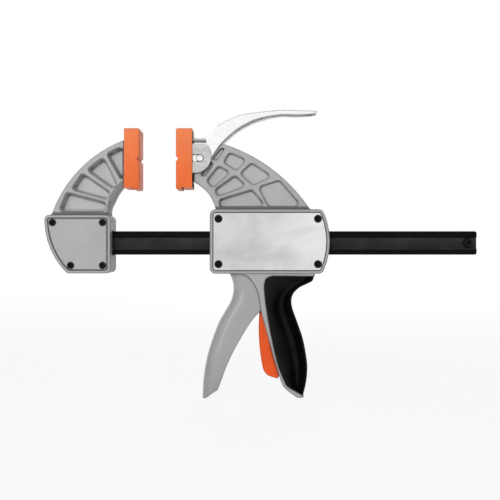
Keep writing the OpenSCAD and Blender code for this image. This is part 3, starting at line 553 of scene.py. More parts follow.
def wear_and_painted_light_mask():
    """Mask that is 1 on edges: how far the normal rounded over a radius leans from the face's own,
    broken up by noise. The finishes mark scuffed edges with it; on the pads and screws it paints a
    highlight, and on the grey paint and the trigger it paints shade."""
    def build(g, given):
        dot = g.node("VectorMath", out=1, operation="DOT_PRODUCT",
                     I0=g.node("Bevel", samples=6, Radius=given["Radius"]),
                     I1=g.node("NewGeometry", out=3))
        lean = g.between(g.math("SUBTRACT", 1.0, dot), 0.02, 0.18)
        breakup = g.noise(given["Breakup Scale"], Detail=5.0, Roughness=0.7)
        mask = g.times(lean, g.between(breakup, 0.35, 0.6))
        return {"Mask": g.times(mask, given["Amount"], clamp=True)}
    return group("Edge Wear", {"Radius": 0.0008, "Breakup Scale": 260.0, "Amount": 0.5}, build)


def painted_crevice_shade():
    """Mask that is 1 where other surfaces hem a point in within a short reach, as in grooves and in
    the corners of pockets, and 0 in the open. The finishes paint shade, and a duller gloss, with
    it."""
    def build(g, given):
        crevice_shade = g.between(g.openness(given["Reach"]), 0.88, 0.4)
        return {"Mask": g.times(crevice_shade, given["Amount"], clamp=True)}
    return group("Crevices", {"Reach": 0.0018, "Amount": 1.0}, build)


def painted_edge_shade():
    """Mask that is 1 on outer edges, where the solid behind a point is thin within a short reach,
    and 0 on broad faces. The finishes paint shade on outer edges with it."""
    def build(g, given):
        thin = g.between(g.openness(given["Reach"], inside=True, only_local=True), 0.95, 0.6)
        return {"Mask": g.times(thin, given["Amount"], clamp=True)}
    return group("Convex Edges", {"Reach": 0.0013, "Amount": 0.5}, build)


def settled_dust():
    """Mask that is highest where a face looks up, in soft patches."""
    def build(g, given):
        patches = g.noise(given["Patch Scale"], Detail=4.0, Roughness=0.65)
        mask = g.times(g.between(g.facing(2), 0.2, 1.0), g.between(patches, 0.4, 0.7))
        return {"Mask": g.times(mask, given["Amount"], clamp=True)}
    return group("Settled Dust", {"Patch Scale": 90.0, "Amount": 0.3}, build)


def brush_marks():
    """Long fine scratches along the bar's axis, with broad soft blotches."""
    def build(g, given):
        fine = g.noise(given["Line Scale"], (0.04, 1, 1), Detail=4.0, Roughness=0.7)
        broad = g.noise(given["Blotch Scale"], (0.6, 1, 1), Detail=3.0, Roughness=0.55,
                        Distortion=0.6)
        return {"Lines": fine, "Blotches": g.between(broad, 0.36, 0.64)}
    return group("Brush Marks", {"Line Scale": 1500.0, "Blotch Scale": 40.0}, build)


def shade(name, colour, rough, dark, light, bump, metallic=0.0, coat=0.0, specular=0.5,
          grain=1600.0, mottle=45.0, lines=0.0, blotch=40.0, specks=0.0, wear=0.0, wear_and_painted_light_colour=None,
          wear_and_painted_light_radius=0.0008, dust=0.0, outline=0.0, reach=0.0018, tone_and_painted_light=None):
    """Finish of a name. The colour varies from dark to light times itself with the mottle. Over it
    lie the piece's own tone and painted light and shade, dark specks, marked edges, which are
    scuffed on some finishes, painted highlights on the pads and screws and painted shade on the
    grey paint and the trigger, dust, painted shade on outer edges and painted shade in grooves and
    corners, which are also duller, and grain or brush marks give the height."""
    mat = bpy.data.materials.get(name)
    if mat:
        return mat
    mat = bpy.data.materials.new(name)
    mat.use_nodes = True
    g = Graph(mat.node_tree)
    shader = mat.node_tree.nodes["Principled BSDF"].inputs
    cast = g.use(cast_grain(), Grain_Scale=grain, Mottle_Scale=mottle)
    patch, height = cast["Mottle"], cast["Height"]
    if lines:
        brush = g.use(brush_marks(), Blotch_Scale=blotch)
        patch = g.math("ADD", g.times(brush["Blotches"], 0.7), g.times(brush["Lines"], 0.3))
        height = g.math("ADD", g.times(height, 1 - lines), g.times(brush["Lines"], 2 * lines))
    low, high = (rgba([min(c * k, 1.0) for c in colour]) for k in (dark, light))
    base = g.mix(patch, low, high)
    if tone_and_painted_light:
        base = tone_and_painted_light(g, base)
    if specks:
        base = g.mix(g.times(cast["Specks"], specks), base, rgba(colour, 0.5))
    if wear:
        base = g.mix(g.use(wear_and_painted_light_mask(), Radius=wear_and_painted_light_radius, Amount=wear)["Mask"], base, rgba(wear_and_painted_light_colour))
    if dust:
        base = g.mix(g.use(settled_dust(), Amount=dust)["Mask"], base, rgba(DUST))
    # outline paints shade on the outer edges.
    if outline:
        base = g.mix(g.use(painted_edge_shade(), Amount=outline)["Mask"], base, rgba(colour, 0.3))
    # Painted shade in grooves, gaps and corners, which are also made duller.
    crevice_shade = g.use(painted_crevice_shade(), Reach=reach)["Mask"]
    g.feed(shader["Base Color"], g.mix(crevice_shade, base, rgba(colour, 0.08)))
    gloss = g.between(patch, 0.0, 1.0, *rough)
    g.feed(shader["Roughness"], g.math("ADD", gloss, g.times(crevice_shade, 0.6), clamp=True))
    g.feed(shader["Normal"], g.node("Bump", Strength=bump, Distance=0.0004, Height=height))
    shader["Specular IOR Level"].default_value = specular
    shader["Metallic"].default_value = metallic
    shader["Coat Weight"].default_value = coat
    return mat


def bar_tone_and_painted_light(g, base):
    """The groove's floor has a paler tone of its own than the flanges and is paler towards its top;
    painted highlight lines run along its top and bottom edges, and above the upper line the slope
    under the upper flange keeps the flanges' dark, as painted shadow.
    """
    # Painted highlight lines along the groove's edges, and a painted shadow above the upper one.
    z = g.at(2)
    from_middle = g.math("ABSOLUTE", g.math("ADD", z, 0.0005))
    floor, pale, edge = (g.scaled(base, k) for k in (5.2, 7.8, 11.0))
    floor = g.mix(g.between(z, -0.005, 0.004), floor, pale)
    floor = g.mix(g.between(from_middle, 0.0043, 0.0048), floor, edge)
    return g.mix(g.between(from_middle, 0.0050, 0.0053, 1.0, 0.0), base, floor)


def paint_pocket_light_and_shade(g, base):
    """The floors of the arms' pockets are painted paler than the rest, those of the fixed arm the
    most, as painted light, and the pockets' walls are painted darker where they face down, as
    painted shade."""
    # Painted shade on the pockets' walls that face down.
    down = g.between(g.facing(2), -0.05, -0.4)
    walled = g.between(g.openness(0.006, only_local=True), 0.9, 0.6)
    base = g.mix(g.times(down, walled), base, g.scaled(base, 0.5))
    # The fixed arm lies left of x = 0 and the thinner sliding arm right of it. Above the blocks, a
    # flat face that lies deeper than the arm's own is a pocket's floor.
    x = g.at(0)
    face = g.between(x, 0.0, 0.001, 0.0121, 0.0081)
    deep = g.math("LESS_THAN", g.math("ABSOLUTE", g.at(1)), face)
    pale = g.times(g.between(x, 0.0, 0.001, 1.0, 0.5), g.between(g.at(2), 0.030, 0.032))
    flat = g.between(g.math("ABSOLUTE", g.facing(1)), 0.9, 0.97)
    # Painted light on the pockets' floors.
    return g.mix(g.times(flat, g.times(deep, pale)), base, g.scaled(base, 1.2))


def trigger_lower_shade(g, base):
    """The trigger is painted a little darker towards its lower end, as painted shade."""
    return g.mix(g.between(g.at(2), -0.085, -0.13), base, g.scaled(base, 0.84))


def pad_painted_light(g, base):
    """The pads are painted paler towards the top and on their clamping faces, as painted light."""
    face = g.between(g.math("ABSOLUTE", g.facing(0)), 0.85, 0.97)
    base = g.mix(g.between(g.at(2), 0.060, 0.104), base, (0.94, 0.26, 0.105, 1))
    return g.mix(face, base, g.scaled(base, (1.1, 1.25, 1.25)))


def chrome_underside_shade(g, base):
    """The lever's underside is painted darker, as shade."""
    return g.mix(g.between(g.facing(2), -0.2, -0.6), base, g.scaled(base, 0.45))


def grip_palm_shade(g, base):
    """The palm's side of the grip, which turns to face back, is painted darker than its flat sides,
    as shade.
    """
    return g.mix(g.between(g.facing(0), -0.01, 0.14), base, g.scaled(base, 0.08))


def cover_painted_reflection(g, base):
    """The cover is painted a little darker and cooler towards its left end and paler at its lower
    edge, as painted reflection.
    """
    base = g.mix(g.between(g.at(2), -0.014, -0.024), base, g.scaled(base, 1.12))
    left_end = g.between(g.at(0), 0.10, 0.155)
    return g.mix(1.0, base, g.mix(left_end, (0.80, 0.81, 0.82, 1), (1, 1, 1, 1)), "MULTIPLY")


# What sets each finish apart. Its colour is the one of that name in the panel.
FINISHES = {
    # On the paint the dark edge colour paints shade on the rounded edges, and outline paints shade
    # on the outer edges.
    "Grey Cast Paint": dict(
        colour="paint", rough=(0.42, 0.55), dark=0.95, light=1.04, grain=1500, mottle=38, bump=0.10,
        wear=0.5, wear_and_painted_light_colour=(0.22, 0.22, 0.22), wear_and_painted_light_radius=0.0016, specks=0.2, dust=0.15, outline=1.0,
        tone_and_painted_light=paint_pocket_light_and_shade),
    "Cover Aluminium": dict(
        colour="cover", rough=(0.24, 0.42), metallic=0.9, dark=0.79, light=1.13, bump=0.05,
        wear=0.15, wear_and_painted_light_colour=(0.95, 0.95, 0.94), lines=0.8, blotch=34, dust=0.05, tone_and_painted_light=cover_painted_reflection),
    # The pale edge colour paints a highlight along the pads' edges.
    "Pad Orange": dict(
        colour="pad", rough=(0.34, 0.46), dark=0.94, light=1.05, grain=900, mottle=60, bump=0.06,
        wear=0.5, wear_and_painted_light_colour=(1.0, 0.62, 0.42), wear_and_painted_light_radius=0.001, dust=0.04, specular=0.15,
        tone_and_painted_light=pad_painted_light),
    # outline and the long reach paint shade along the lever's edges and beside the frame.
    "Orange Plastic": dict(
        colour="release", rough=(0.3, 0.4), dark=0.94, light=1.04, grain=1100, bump=0.04, wear=0.2,
        wear_and_painted_light_colour=(1.0, 0.5, 0.3), dust=0.02, specular=0.15, outline=0.8, reach=0.0035),
    "Grip Rubber": dict(
        colour="rubber", rough=(0.46, 0.62), dark=0.8, light=1.25, grain=1300, mottle=80, bump=0.22,
        wear=0.12, wear_and_painted_light_colour=(0.03, 0.03, 0.03), dust=0.01, specular=0.02, tone_and_painted_light=grip_palm_shade),
    "Black Bar": dict(
        colour="bar", rough=(0.3, 0.48), dark=0.7, light=1.3, grain=900, bump=0.12, wear=0.25,
        wear_and_painted_light_colour=(0.05, 0.05, 0.05), lines=0.7, blotch=60, dust=0.01, specular=0.05, tone_and_painted_light=bar_tone_and_painted_light),
    # The pale edge colour paints highlights on the edges of the heads and sockets.
    "Black Screws": dict(
        colour="screws", rough=(0.28, 0.4), dark=0.7, light=1.3, bump=0.08, wear=0.9,
        wear_and_painted_light_colour=(0.22, 0.22, 0.22), specular=0.12, wear_and_painted_light_radius=0.0003),
    "Zinc Plate": dict(
        colour="zinc", rough=(0.32, 0.5), metallic=0.5, dark=0.84, light=1.08, grain=700,
        mottle=260, bump=0.06, wear=0.2, wear_and_painted_light_colour=(0.85, 0.85, 0.83), dust=0.05),
    "Chrome": dict(
        colour="chrome", rough=(0.08, 0.16), metallic=0.4, dark=0.98, light=1.02, grain=400,
        bump=0.015, tone_and_painted_light=chrome_underside_shade),
    "Bright Steel": dict(
        colour="steel", rough=(0.2, 0.34), metallic=1.0, dark=0.88, light=1.08, bump=0.05, wear=0.2,
        wear_and_painted_light_colour=(0.9, 0.9, 0.9), lines=0.4, dust=0.03),
    # The dark edge colour and outline paint shade along the trigger's edges.
    "Trigger Grey": dict(
        colour="trigger", rough=(0.3, 0.4), dark=0.97, light=1.03, grain=1500, mottle=30, bump=0.02,
        wear=0.5, wear_and_painted_light_colour=(0.2, 0.2, 0.2), wear_and_painted_light_radius=0.0006, coat=0.6, dust=0.04, outline=0.5,
        tone_and_painted_light=trigger_lower_shade),
}


def finish(name):
    """Material of a finish's name, in the colour that the panel holds."""
    values = dict(FINISHES[name])
    return shade(name, getattr(bpy.context.scene.clamp_colours, values.pop("colour")), **values)


# Slot of the frame's record and finish of the scene, for each kind of surface
PAINT = ("paint_grey", "Grey Cast Paint")
COVER = ("cover_aluminium", "Cover Aluminium")
PAD = ("pad_orange", "Pad Orange")
PLASTIC = ("orange_plastic", "Orange Plastic")
RUBBER = ("grip_rubber", "Grip Rubber")
BAR_BLACK = ("black_steel", "Black Bar")
SCREW_BLACK = ("black_steel", "Black Screws")
PIN_BLACK = ("steel", "Black Screws")
ZINC = ("zinc_steel", "Zinc Plate")
CHROME = ("chrome", "Chrome")
PIN_CHROME = ("steel", "Chrome")
STEEL = ("steel", "Bright Steel")
TRIGGER = ("trigger_grey", "Trigger Grey")


# ------------------------------------------------------------------ sizes and colours

def colour(label, text, value):
    return FloatVectorProperty(name=label, description=text, default=value, subtype="COLOR",
                               size=3, min=0, max=1)


def length(label, text, value):
    return FloatProperty(name=label, description=text, default=value * MM, unit="LENGTH",
                         subtype="DISTANCE", min=0)


class ClampSizes(bpy.types.PropertyGroup):
    """Roundings of the clamp's pieces"""
    casting_edge: length("Casting edge", "Rounding of the castings' outer edges", 0.9)
    pocket_lip: length("Pocket lip", "Rounding where an arm's face turns into a pocket", 0.6)
    pocket_reach: length("Pocket lean", "How far a deep pocket's wall and foot reach in", 2.6)
    cover_edge: length("Cover edge", "Rounding of the cover plates' edges", 0.25)
    pad_edge: length("Pad edge", "Rounding of the pads' edges", 1.6)
    bar_edge: length("Bar edge", "Rounding of the bar's flanges", 0.7)
    trigger_depth: length("Trigger rounding", "Depth of the trigger's rounded front", 15.0)
    lever_depth: length("Lever rounding", "Bend between the lever's web and its sides", 2.4)


class ClampColours(bpy.types.PropertyGroup):
    """Colours of the clamp's finishes and of the floor"""
    paint: colour("Casting paint", "Paint of both jaws and the fixed covers", (0.45, 0.455, 0.45))
    cover: colour("Body covers", "Brushed aluminium of the body's covers", (0.80, 0.79, 0.78))
    pad: colour("Pads", "Soft pads on the jaws", (0.9, 0.18, 0.052))
    release: colour("Release lever", "Plastic of the brake release lever", (0.95, 0.125, 0.028))
    screws: colour("Screws", "Black oxide of the screws and the stop pin", (0.007, 0.007, 0.008))
    rubber: colour("Grip", "Rubber of the grip and the pad's end caps", (0.0145, 0.0145, 0.0145))
    bar: colour("Bar", "Black finish of the bar", (0.0045, 0.0045, 0.0045))
    zinc: colour("Pad carrier", "Zinc plate of the pad carrier", (0.6, 0.6, 0.585))
    chrome: colour("Quick release lever", "Plating of the lever", (0.985, 0.985, 0.99))
    steel: colour("Steel parts", "Pins, springs, plates and guides", (0.62, 0.62, 0.61))
    trigger: colour("Trigger", "Satin grey of the trigger", (0.41, 0.412, 0.41))
    floor: colour("Floor", "Floor and backdrop", (0.82, 0.82, 0.82))


def size(name):
    """Size that the panel holds, in millimetres."""
    return getattr(bpy.context.scene.clamp_sizes, name) / MM


# ------------------------------------------------------------------ operators

class Piece:
    """What every operator of the clamp shares"""
    bl_options = {"REGISTER", "UNDO"}


def seat_camera(scene):
    camera = bpy.data.cameras.new("Camera")
    camera.lens, camera.sensor_width, camera.clip_start = 56.4, 36, 0.01
    seat = bpy.data.objects.new("Camera", camera)
    seat.location, seat.rotation_euler = (0.0977, -0.705, -0.0063), (np.pi / 2, 0, 0)
    scene.collection.objects.link(seat)
    scene.camera = seat


def surround(scene):
    """World that is white to the camera and dim as a light. Reflections see it white before and
    behind the clamp and grey at its sides."""
    world = bpy.data.worlds.new("Surroundings")
    world.use_nodes = True
    scene.world = world
    g = Graph(world.node_tree)
    ray = world.node_tree.nodes.new("ShaderNodeLightPath").outputs
    toward_y = g.math("ABSOLUTE", g.at(1))
    mirrored = g.times(ray["Is Glossy Ray"], g.between(toward_y, 0.2, 0.7, 0.1, 1.0))
    straight = g.math("MAXIMUM", ray["Is Camera Ray"], ray["Is Transmission Ray"])
    background = world.node_tree.nodes["Background"].inputs
    background["Color"].default_value = (1, 1, 1, 1)
    g.feed(background["Strength"],
           g.between(g.math("MAXIMUM", mirrored, straight), 0.0, 1.0, 0.16, 1.0))


# Name, place, what it is turned to, width and height, power and colour
LAMPS = (("Key", (-0.58, -0.88, 0.42), (0.08, 0, -0.02), (0.16, 1.0), 1.7, (1, 0.99, 0.975)),
         ("Front", (-0.18, -1.35, 0.36), (0.1, 0, 0), (0.5, 0.5), 10.6, (0.985, 0.99, 1)),
         ("Back", (0.25, 1.3, 0.35), (0.1, 0, 0), (0.9, 0.9), 8.0, (1, 1, 1)))


def hang_lamps(scene):
    for name, at, aim, extent, power, tone in LAMPS:
        lamp = bpy.data.lights.new(name, "AREA")
        lamp.shape = "RECTANGLE"
        lamp.size, lamp.size_y = extent
        lamp.energy, lamp.color = power, tone
        stand = bpy.data.objects.new(name, lamp)
        stand.location = at
        stand.rotation_euler = (Vector(aim) - Vector(at)).to_track_quat("-Z", "Y").to_euler()
        stand.visible_glossy = name == "Key"
        scene.collection.objects.link(stand)


def lay_floor(scene):
    """Floor just under the clamp. To the camera and in reflections it glows white, a tenth less
    beside the clamp than away from it, and keeps that tenth for the shadow."""
    half, under = 4.0, 0.0004
    u, v = np.meshgrid(np.linspace(-half, half, 9), np.linspace(-half, half, 9), indexing="ij")
    skin = Skin()
    skin.grid(np.stack((u, v, np.full_like(u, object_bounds()[0][2] - under)), -1), wrap=False)
    mesh = bpy.data.meshes.new("Floor")
    mesh.from_pydata(np.concatenate(skin.points), [], skin.faces)
    floor = bpy.data.objects.new("Floor", mesh)
    scene.collection.objects.link(floor)
    mat = bpy.data.materials.new("Pale Floor")
    mat.use_nodes = True
    nodes = mat.node_tree.nodes
    shader = nodes["Principled BSDF"]
    shader.inputs["Base Color"].default_value = rgba(scene.clamp_colours.floor)
    shader.inputs["Roughness"].default_value = 0.9
    shader.inputs["Specular IOR Level"].default_value = 0.0
    g = Graph(mat.node_tree)
    ray = nodes.new("ShaderNodeLightPath").outputs
    seen = g.math("MAXIMUM", ray["Is Camera Ray"], ray["Is Glossy Ray"])
    away = g.node("VectorMath", out=1, operation="LENGTH", I0=g.node("TexCoord", out=3))
    blend = nodes.new("ShaderNodeMixShader")
    g.feed(blend.inputs[0], g.times(seen, g.between(away, 0.4, 1.6, 0.9, 1.0)))
    g.feed(blend.inputs[1], shader.outputs[0])
    g.feed(blend.inputs[2], nodes.new("ShaderNodeEmission").outputs[0])
    g.feed(nodes["Material Output"].inputs["Surface"], blend.outputs[0])
    mesh.materials.append(mat)
    floor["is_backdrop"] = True


class CLAMP_OT_stage(Piece, bpy.types.Operator):
    """Camera, lights, pale floor and white surroundings"""
    bl_idname = "clamp.stage"
    bl_label = "Stage"

    def execute(self, context):
        context.scene.view_settings.view_transform = "Standard"
        for step in (seat_camera, surround, hang_lamps, lay_floor):
            step(context.scene)
        return {"FINISHED"}


def ribbed_arm(skin, outline, half, pockets, floors, reaches, edge, belly=0.0):
    """Arm of a casting: a slab whose faces go round the pockets' lips, with each pocket on both
    sides. floors are how far from the middle the pockets end, and reaches how far their walls and
    feet come in."""
    mouths = ([], [])
    lip = size("pocket_lip")
    for pocket, floor, reach in zip(pockets, floors, reaches):
        for mouth, s in zip(mouths, (-1, 1)):
            mouth.append(hollow(skin, pocket, s * half, s * floor, lip, reach))
    slab(skin, outline, -half, half, edge, mouths, belly=belly)


def foot_cove(skin, edges, half, level, r, sides):
    """Cove where an arm stands on its block: rounded boxes about the arm's section, each outside it
    by r(1 - cos a) at the height r(1 - sin a) over the block. sides says whether it reaches out at
    the left and the right, where the block's top goes on beyond the arm."""
    # How far it ends inside the arm, how far it goes into the block, and the boxes' corners
    sunk, skirt, corner = 0.04, 0.4, 1.2
    a = np.linspace(0, np.pi / 2, 7)
    rings = []
    for out, z in zip(r * (1 - np.cos(a)) - sunk, level + r * (1 - np.sin(a))):
        x = sorted(np.interp(z, e[:, 1], e[:, 0]) for e in edges)
        x0, x1 = (x[k] + s * (out if sides[k] else -sunk) for k, s in enumerate((-1, 1)))
        y = half + out
        box = rounded([(x0, -y, corner), (x1, -y, corner), (x1, y, corner), (x0, y, corner)])
        rings.append(np.column_stack((box, np.full(len(box), z))))
    rings.append(rings[-1] - (0, 0, skirt))
    skin.grid(rings)
    skin.cap(rings[0])
    skin.cap(rings[-1])


class CLAMP_OT_fixed_jaw(Piece, bpy.types.Operator):
    """Fixed jaw: its hollow block and its ribbed arm, with the head inside the pad"""
    bl_idname = "clamp.fixed_jaw"
    bl_label = "Fixed Jaw"

    def execute(self, context):
        edge = size("casting_edge")
        from_frame("fixed_block_casting", "fixed_jaw", "bar_assembly", PAINT, edge, top=BLOCK_TOP)
        skin = Skin()
        inner, outer = FIXED_ARM
        outline = left_turning(resample(np.concatenate((inner, outer[::-1])), 0.8))
        # The inner side is crowned, from nothing at the foot to its full height up the arm.
        to_inner = np.min(np.linalg.norm(outline[:, None] - inner[None], axis=2), axis=1)
        belly = 3.2 * (to_inner < 1) * smooth(outline[:, 1], 24, 41)
        pockets = [arm_pocket(FIXED_ARM, p) for p in FIXED_POCKETS]
        ribbed_arm(skin, outline, FIXED_ARM_HALF, pockets, [3.0] * 4,
                   [size("pocket_reach")] * 4, edge, belly)
        foot_cove(skin, FIXED_ARM, FIXED_ARM_HALF, BLOCK_TOP, 1.9, (True, False))
        x0, x1, z0, z1, half, r = -15.5, -3.7, PAD_Z - 15, PAD_Z + 12, 10.9, 1
        head = rounded([(x0, z0, r), (x1, z0, r), (x1, z1, r), (x0, z1, r)])
        slab(skin, left_turning(resample(head, 1.0)), -half, half, 0.5)
        make("fixed_arm_casting", skin, "bar_assembly", ["fixed_jaw"], PAINT)
        return {"FINISHED"}


class CLAMP_OT_sliding_jaw(Piece, bpy.types.Operator):
    """Sliding jaw: its hollow body with the handle's frame, and its ribbed arm"""
    bl_idname = "clamp.sliding_jaw"
    bl_label = "Sliding Jaw"

    def execute(self, context):
        edge = size("casting_edge")
        from_frame("body_casting", "sliding_jaw", "jaw_carriage", PAINT, edge, top=BODY_TOP)
        skin = Skin()
        inner, outer = SLIDING_ARM
        a = np.radians(np.linspace(210, 90, 25))
        nose = np.array(LEVER_PIN) + 6.8 * np.stack((np.cos(a), np.sin(a)), 1)
        tip = np.concatenate(([(-14.3, 67)], nose, [(-2, 83.6), (5, 86)]))
        outline = left_turning(resample(np.concatenate((inner, tip, outer[::-1])), 0.8))
        pockets = [arm_pocket(SLIDING_ARM, p) for p in SLIDING_POCKETS]
        floors = [4.6, 4.6, 4.6, 5.0, 3.0, 3.0, 3.0, 4.0]
        reaches = [1.2, 1.2, 1.1, 0.8, 1.8, 1.7, 1.5, 0.9]
        ribbed_arm(skin, outline, SLIDING_ARM_HALF, pockets, floors, reaches, edge)
        foot_cove(skin, SLIDING_ARM, SLIDING_ARM_HALF, BODY_TOP, 2.2, (False, True))
        make("sliding_arm_casting", skin, "jaw_carriage", ["sliding_jaw"], PAINT, JAW_X)
        return {"FINISHED"}


def cover_plate(skin, loop, screws, side, head):
    """Cover on one side: a slab from the block's face inwards, with countersunk holes that narrow
    from the screw head's radius to its shank's."""
    face, back = side * HALF_W, side * (HALF_W - COVER_T)
    bore = 2.05
    seat = [(face, head + 0.08), (face - side * 0.1, head + 0.05), (face - side * 1.55, bore),
            (back, bore)]
    mouths = ([], [])
    for at in screws:
        turned(skin, seat, at)
        for loops, (y, r) in zip(mouths, (seat[0], seat[-1])):
            loops.append(at_y(circle(at, r, 36), y))
    mouths = mouths if face < back else mouths[::-1]
    slab(skin, loop, min(face, back), max(face, back), size("cover_edge"), mouths, steps=3)


def cap_screws(skin, screws, side, head):
    """Countersunk screws: ring after ring from the shank's end up the cone, over the head's flat
    face and down a six-sided socket, as depths below the face and radii."""
    shank = [(10, 0), (10, 1.7), (9.7, 1.98), (1.5, 1.98)]
    rim = [(0.16, head - 0.04), (0.04, head), (0.0, head - 0.2), (0.0, 1.95)]
    socket = [(0.12, 1.78), (2.2, 1.7), (2.4, 0)]
    profile = [(side * HALF_W - side * d, r) for d, r in shank + rim + socket]
    for at in screws:
        turned(skin, profile, at, hexed=(7, 8, 9))


class CLAMP_OT_covers(Piece, bpy.types.Operator):
    """Cover plates of both blocks, with their screws"""
    bl_idname = "clamp.covers"
    bl_label = "Covers and Screws"

    def execute(self, context):
        # Name, outline, screws, radius of their heads, body, place along the bar, look
        blocks = (("fixed_jaw", block_outline, BLOCK_SCREWS, 3.15, "bar_assembly", 0.0, PAINT),
                  ("body", body_outline, BODY_SCREWS, 3.5, "jaw_carriage", JAW_X, COVER))
        for node, side in (("front", -1), ("rear", 1)):
            for block, outline, screws, head, body, x, look in blocks:
                skin = Skin()
                loop = left_turning(resample(outline(RIM), 0.9))
                cover_plate(skin, loop, screws, side, head)
                make(f"{block}_{node}_plate", skin, body, [f"{block}_{node}_cover"], look, x)
                skin = Skin()
                cap_screws(skin, screws, side, head)
                make(f"{block}_{node}_socket_screws", skin, body, [f"{block}_{node}_screws"],
                     SCREW_BLACK, x, facet=28)
        return {"FINISHED"}


def pad_skin(skin, front, back, floor, wall, r):
    """Pad pressed between its front and back x, with a V groove across the front. The front is a
    grid over y and z; in the rounded border a point's shares a and b of the way out become
    r a sqrt(1 - b^2 / 2) and r b sqrt(1 - a^2 / 2), and the surface drops back by
    r - sqrt(r^2 - both squared). Its border then runs straight back, past a small lug at the lower
    edge, round the rim and into the hollow that the jaw fills, down to the floor's x. wall is how
    thick the hollow's walls are along y and z."""
    y_half, z_half = 13.5, 27
    groove_half, groove_depth = 2.4, 1.9
    s = np.sign(back - front)
    ease = np.sin(np.linspace(0, np.pi / 2, 6))
    y = np.concatenate((np.linspace(0, y_half - r, 8)[:-1], y_half - r + r * np.linspace(0, 1, 6)))
    z = np.concatenate(([0, 0.18], np.linspace(0.6, 2.2, 4), [groove_half, 2.62],
                        np.linspace(3.4, z_half - r, 14)[:-1], z_half - r + r * ease))
    y, z = (np.concatenate((-v[:0:-1], v)) for v in (y, z))
    y, z = np.meshgrid(y, z, indexing="ij")
    a = np.clip((np.abs(y) - y_half + r) / r, 0, 1)
    b = np.clip((np.abs(z) - z_half + r) / r, 0, 1)
    qy, qz = r * a * np.sqrt(1 - b * b / 2), r * b * np.sqrt(1 - a * a / 2)
    drop = r - np.sqrt(np.maximum(r * r - qy * qy - qz * qz, 0))
    groove = groove_depth * np.clip(1 - np.abs(z) / groove_half, 0, 1)
    yy = np.where(a > 0, np.sign(y) * (y_half - r + qy), y)
    zz = np.where(b > 0, np.sign(z) * (z_half - r + qz), z)
    p = np.stack((front + s * (drop + groove), yy, zz + PAD_Z), -1)
    skin.grid(p, wrap=False)
    edge = np.concatenate((p[:, 0], p[-1, 1:], p[-2::-1, -1], p[0, -2:0:-1]))

    def ring(x, limit_y, limit_z, foot=0.0):
        """The border at x, drawn in to the limits, with its lower edge up by foot."""
        q = edge.copy()
        q[:, 0] = x
        q[:, 1] = np.clip(q[:, 1], -limit_y, limit_y)
        q[:, 2] = PAD_Z + np.clip(q[:, 2] - PAD_Z, foot - limit_z, limit_z)
        return q

    rim, foot = 0.5, 1.15
    wall_y, wall_z = wall
    # Distances behind the front, and how far up the lower edge is there
    lug = [(5.2, 0.0), (5.3, 0.1), (5.35, 1.9), (6.4, 1.9), (6.45, 1.3), (6.6, foot)]
    rings = [edge] + [ring(front + s * x, y_half, z_half, up) for x, up in lug]
    rings += [ring(back - s * (rim + 0.1), y_half, z_half, foot),
              ring(back - s * rim, y_half, z_half, foot),
              ring(back - s * 0.15, y_half - 0.15, z_half - 0.15, foot),
              ring(back, y_half - min(rim, wall_y * 0.6), z_half - rim, foot),
              ring(back, y_half - wall_y, z_half - wall_z),
              ring(floor, y_half - wall_y, z_half - wall_z)]
    skin.grid(rings)
    skin.cap(rings[-1])


class CLAMP_OT_pads(Piece, bpy.types.Operator):
    """Both orange pads with their V grooves"""
    bl_idname = "clamp.pads"
    bl_label = "Pads"

    def execute(self, context):
        r = size("pad_edge")
        skin = Skin()
        pad_skin(skin, 0.0, -13.7, -3.5, (2.4, 2.4), r)
        make("fixed_jaw_pad", skin, "bar_assembly", ["fixed_pad"], PAD)
        skin = Skin()
        pad_skin(skin, -30.2, -15.7, -20.0, (0.7, 2.0), r)
        make("moving_jaw_pad", skin, "pad_slide", ["moving_pad"], PAD, JAW_X)
        return {"FINISHED"}


class CLAMP_OT_bar(Piece, bpy.types.Operator):
    """Black bar with a groove in each side, and its slotted stop pin"""
    bl_idname = "clamp.bar"
    bl_label = "Bar and Stop Pin"

    def execute(self, context):
        # The section is an I with rounded flanges, carried along X. Within end of each end the part
        # of it beyond the flat middle is drawn in by a quarter circle.
        r = size("bar_edge")
        x0, x1, end = -72, 300.5, 2
        flat = BAR_TOP - end
        corner = [(4.5, -BAR_TOP, r), (4.5, -5.4, 0.5), (3.0, -4.4, 0.7),
                  (3.0, 4.4, 0.7), (4.5, 5.4, 0.5), (4.5, BAR_TOP, r)]
        loop = left_turning(rounded(corner + [(-y, z, q) for y, z, q in corner[::-1]], 5))
        a = np.linspace(0, np.pi / 2, 7)
        runs = end * (1 - np.cos(a))
        x = np.concatenate((x0 + runs, np.linspace(x0 + 4, x1 - 4.5, 60), x1 - runs[::-1]))
        d = np.clip(np.minimum(x - x0, x1 - x), 0, end)
        k = np.sqrt(np.maximum(1 - (1 - d / end) ** 2, 0))[:, None]
        height = np.abs(loop[:, 1])[None]
        z = np.minimum(height, flat) + np.maximum(height - flat, 0) * k
        z = np.sign(loop[:, 1])[None] * z
        y = loop[:, 0][None] * (1 - 0.08 * (1 - np.clip(d / 0.4, 0, 1)))[:, None]
        rings = np.stack((np.broadcast_to(x[:, None], z.shape), y, z), -1)
        skin = Skin()
        skin.grid(rings)
        skin.cap(rings[0])
        skin.cap(rings[-1])
        make("grooved_bar", skin, "bar_assembly", ["bar"], BAR_BLACK)
        gap = np.radians(14)
        t = np.linspace(gap, 2 * np.pi - gap, 44)
        around = np.stack((np.cos(t), np.sin(t)), 1)
        wall = np.array((292.3, 0)) + np.concatenate((3.5 * around, 2.1 * around[::-1]))
        skin = Skin()
        slab(skin, left_turning(wall), -8, 8, 0.3, steps=3)
        make("slotted_stop_pin", skin, "bar_assembly", ["bar_stop_pin"], PIN_BLACK)
        return {"FINISHED"}


def in_step(first, second, n):
    """n points on each of two curves, at the same shares of their lengths."""
    share = np.linspace(0, 1, n)
    fine = (resample(curve, 0.1, closed=False) for curve in (first, second))
    return (np.stack([np.interp(share, np.linspace(0, 1, len(c)), c[:, j]) for j in (0, 1)], 1)
            for c in fine)


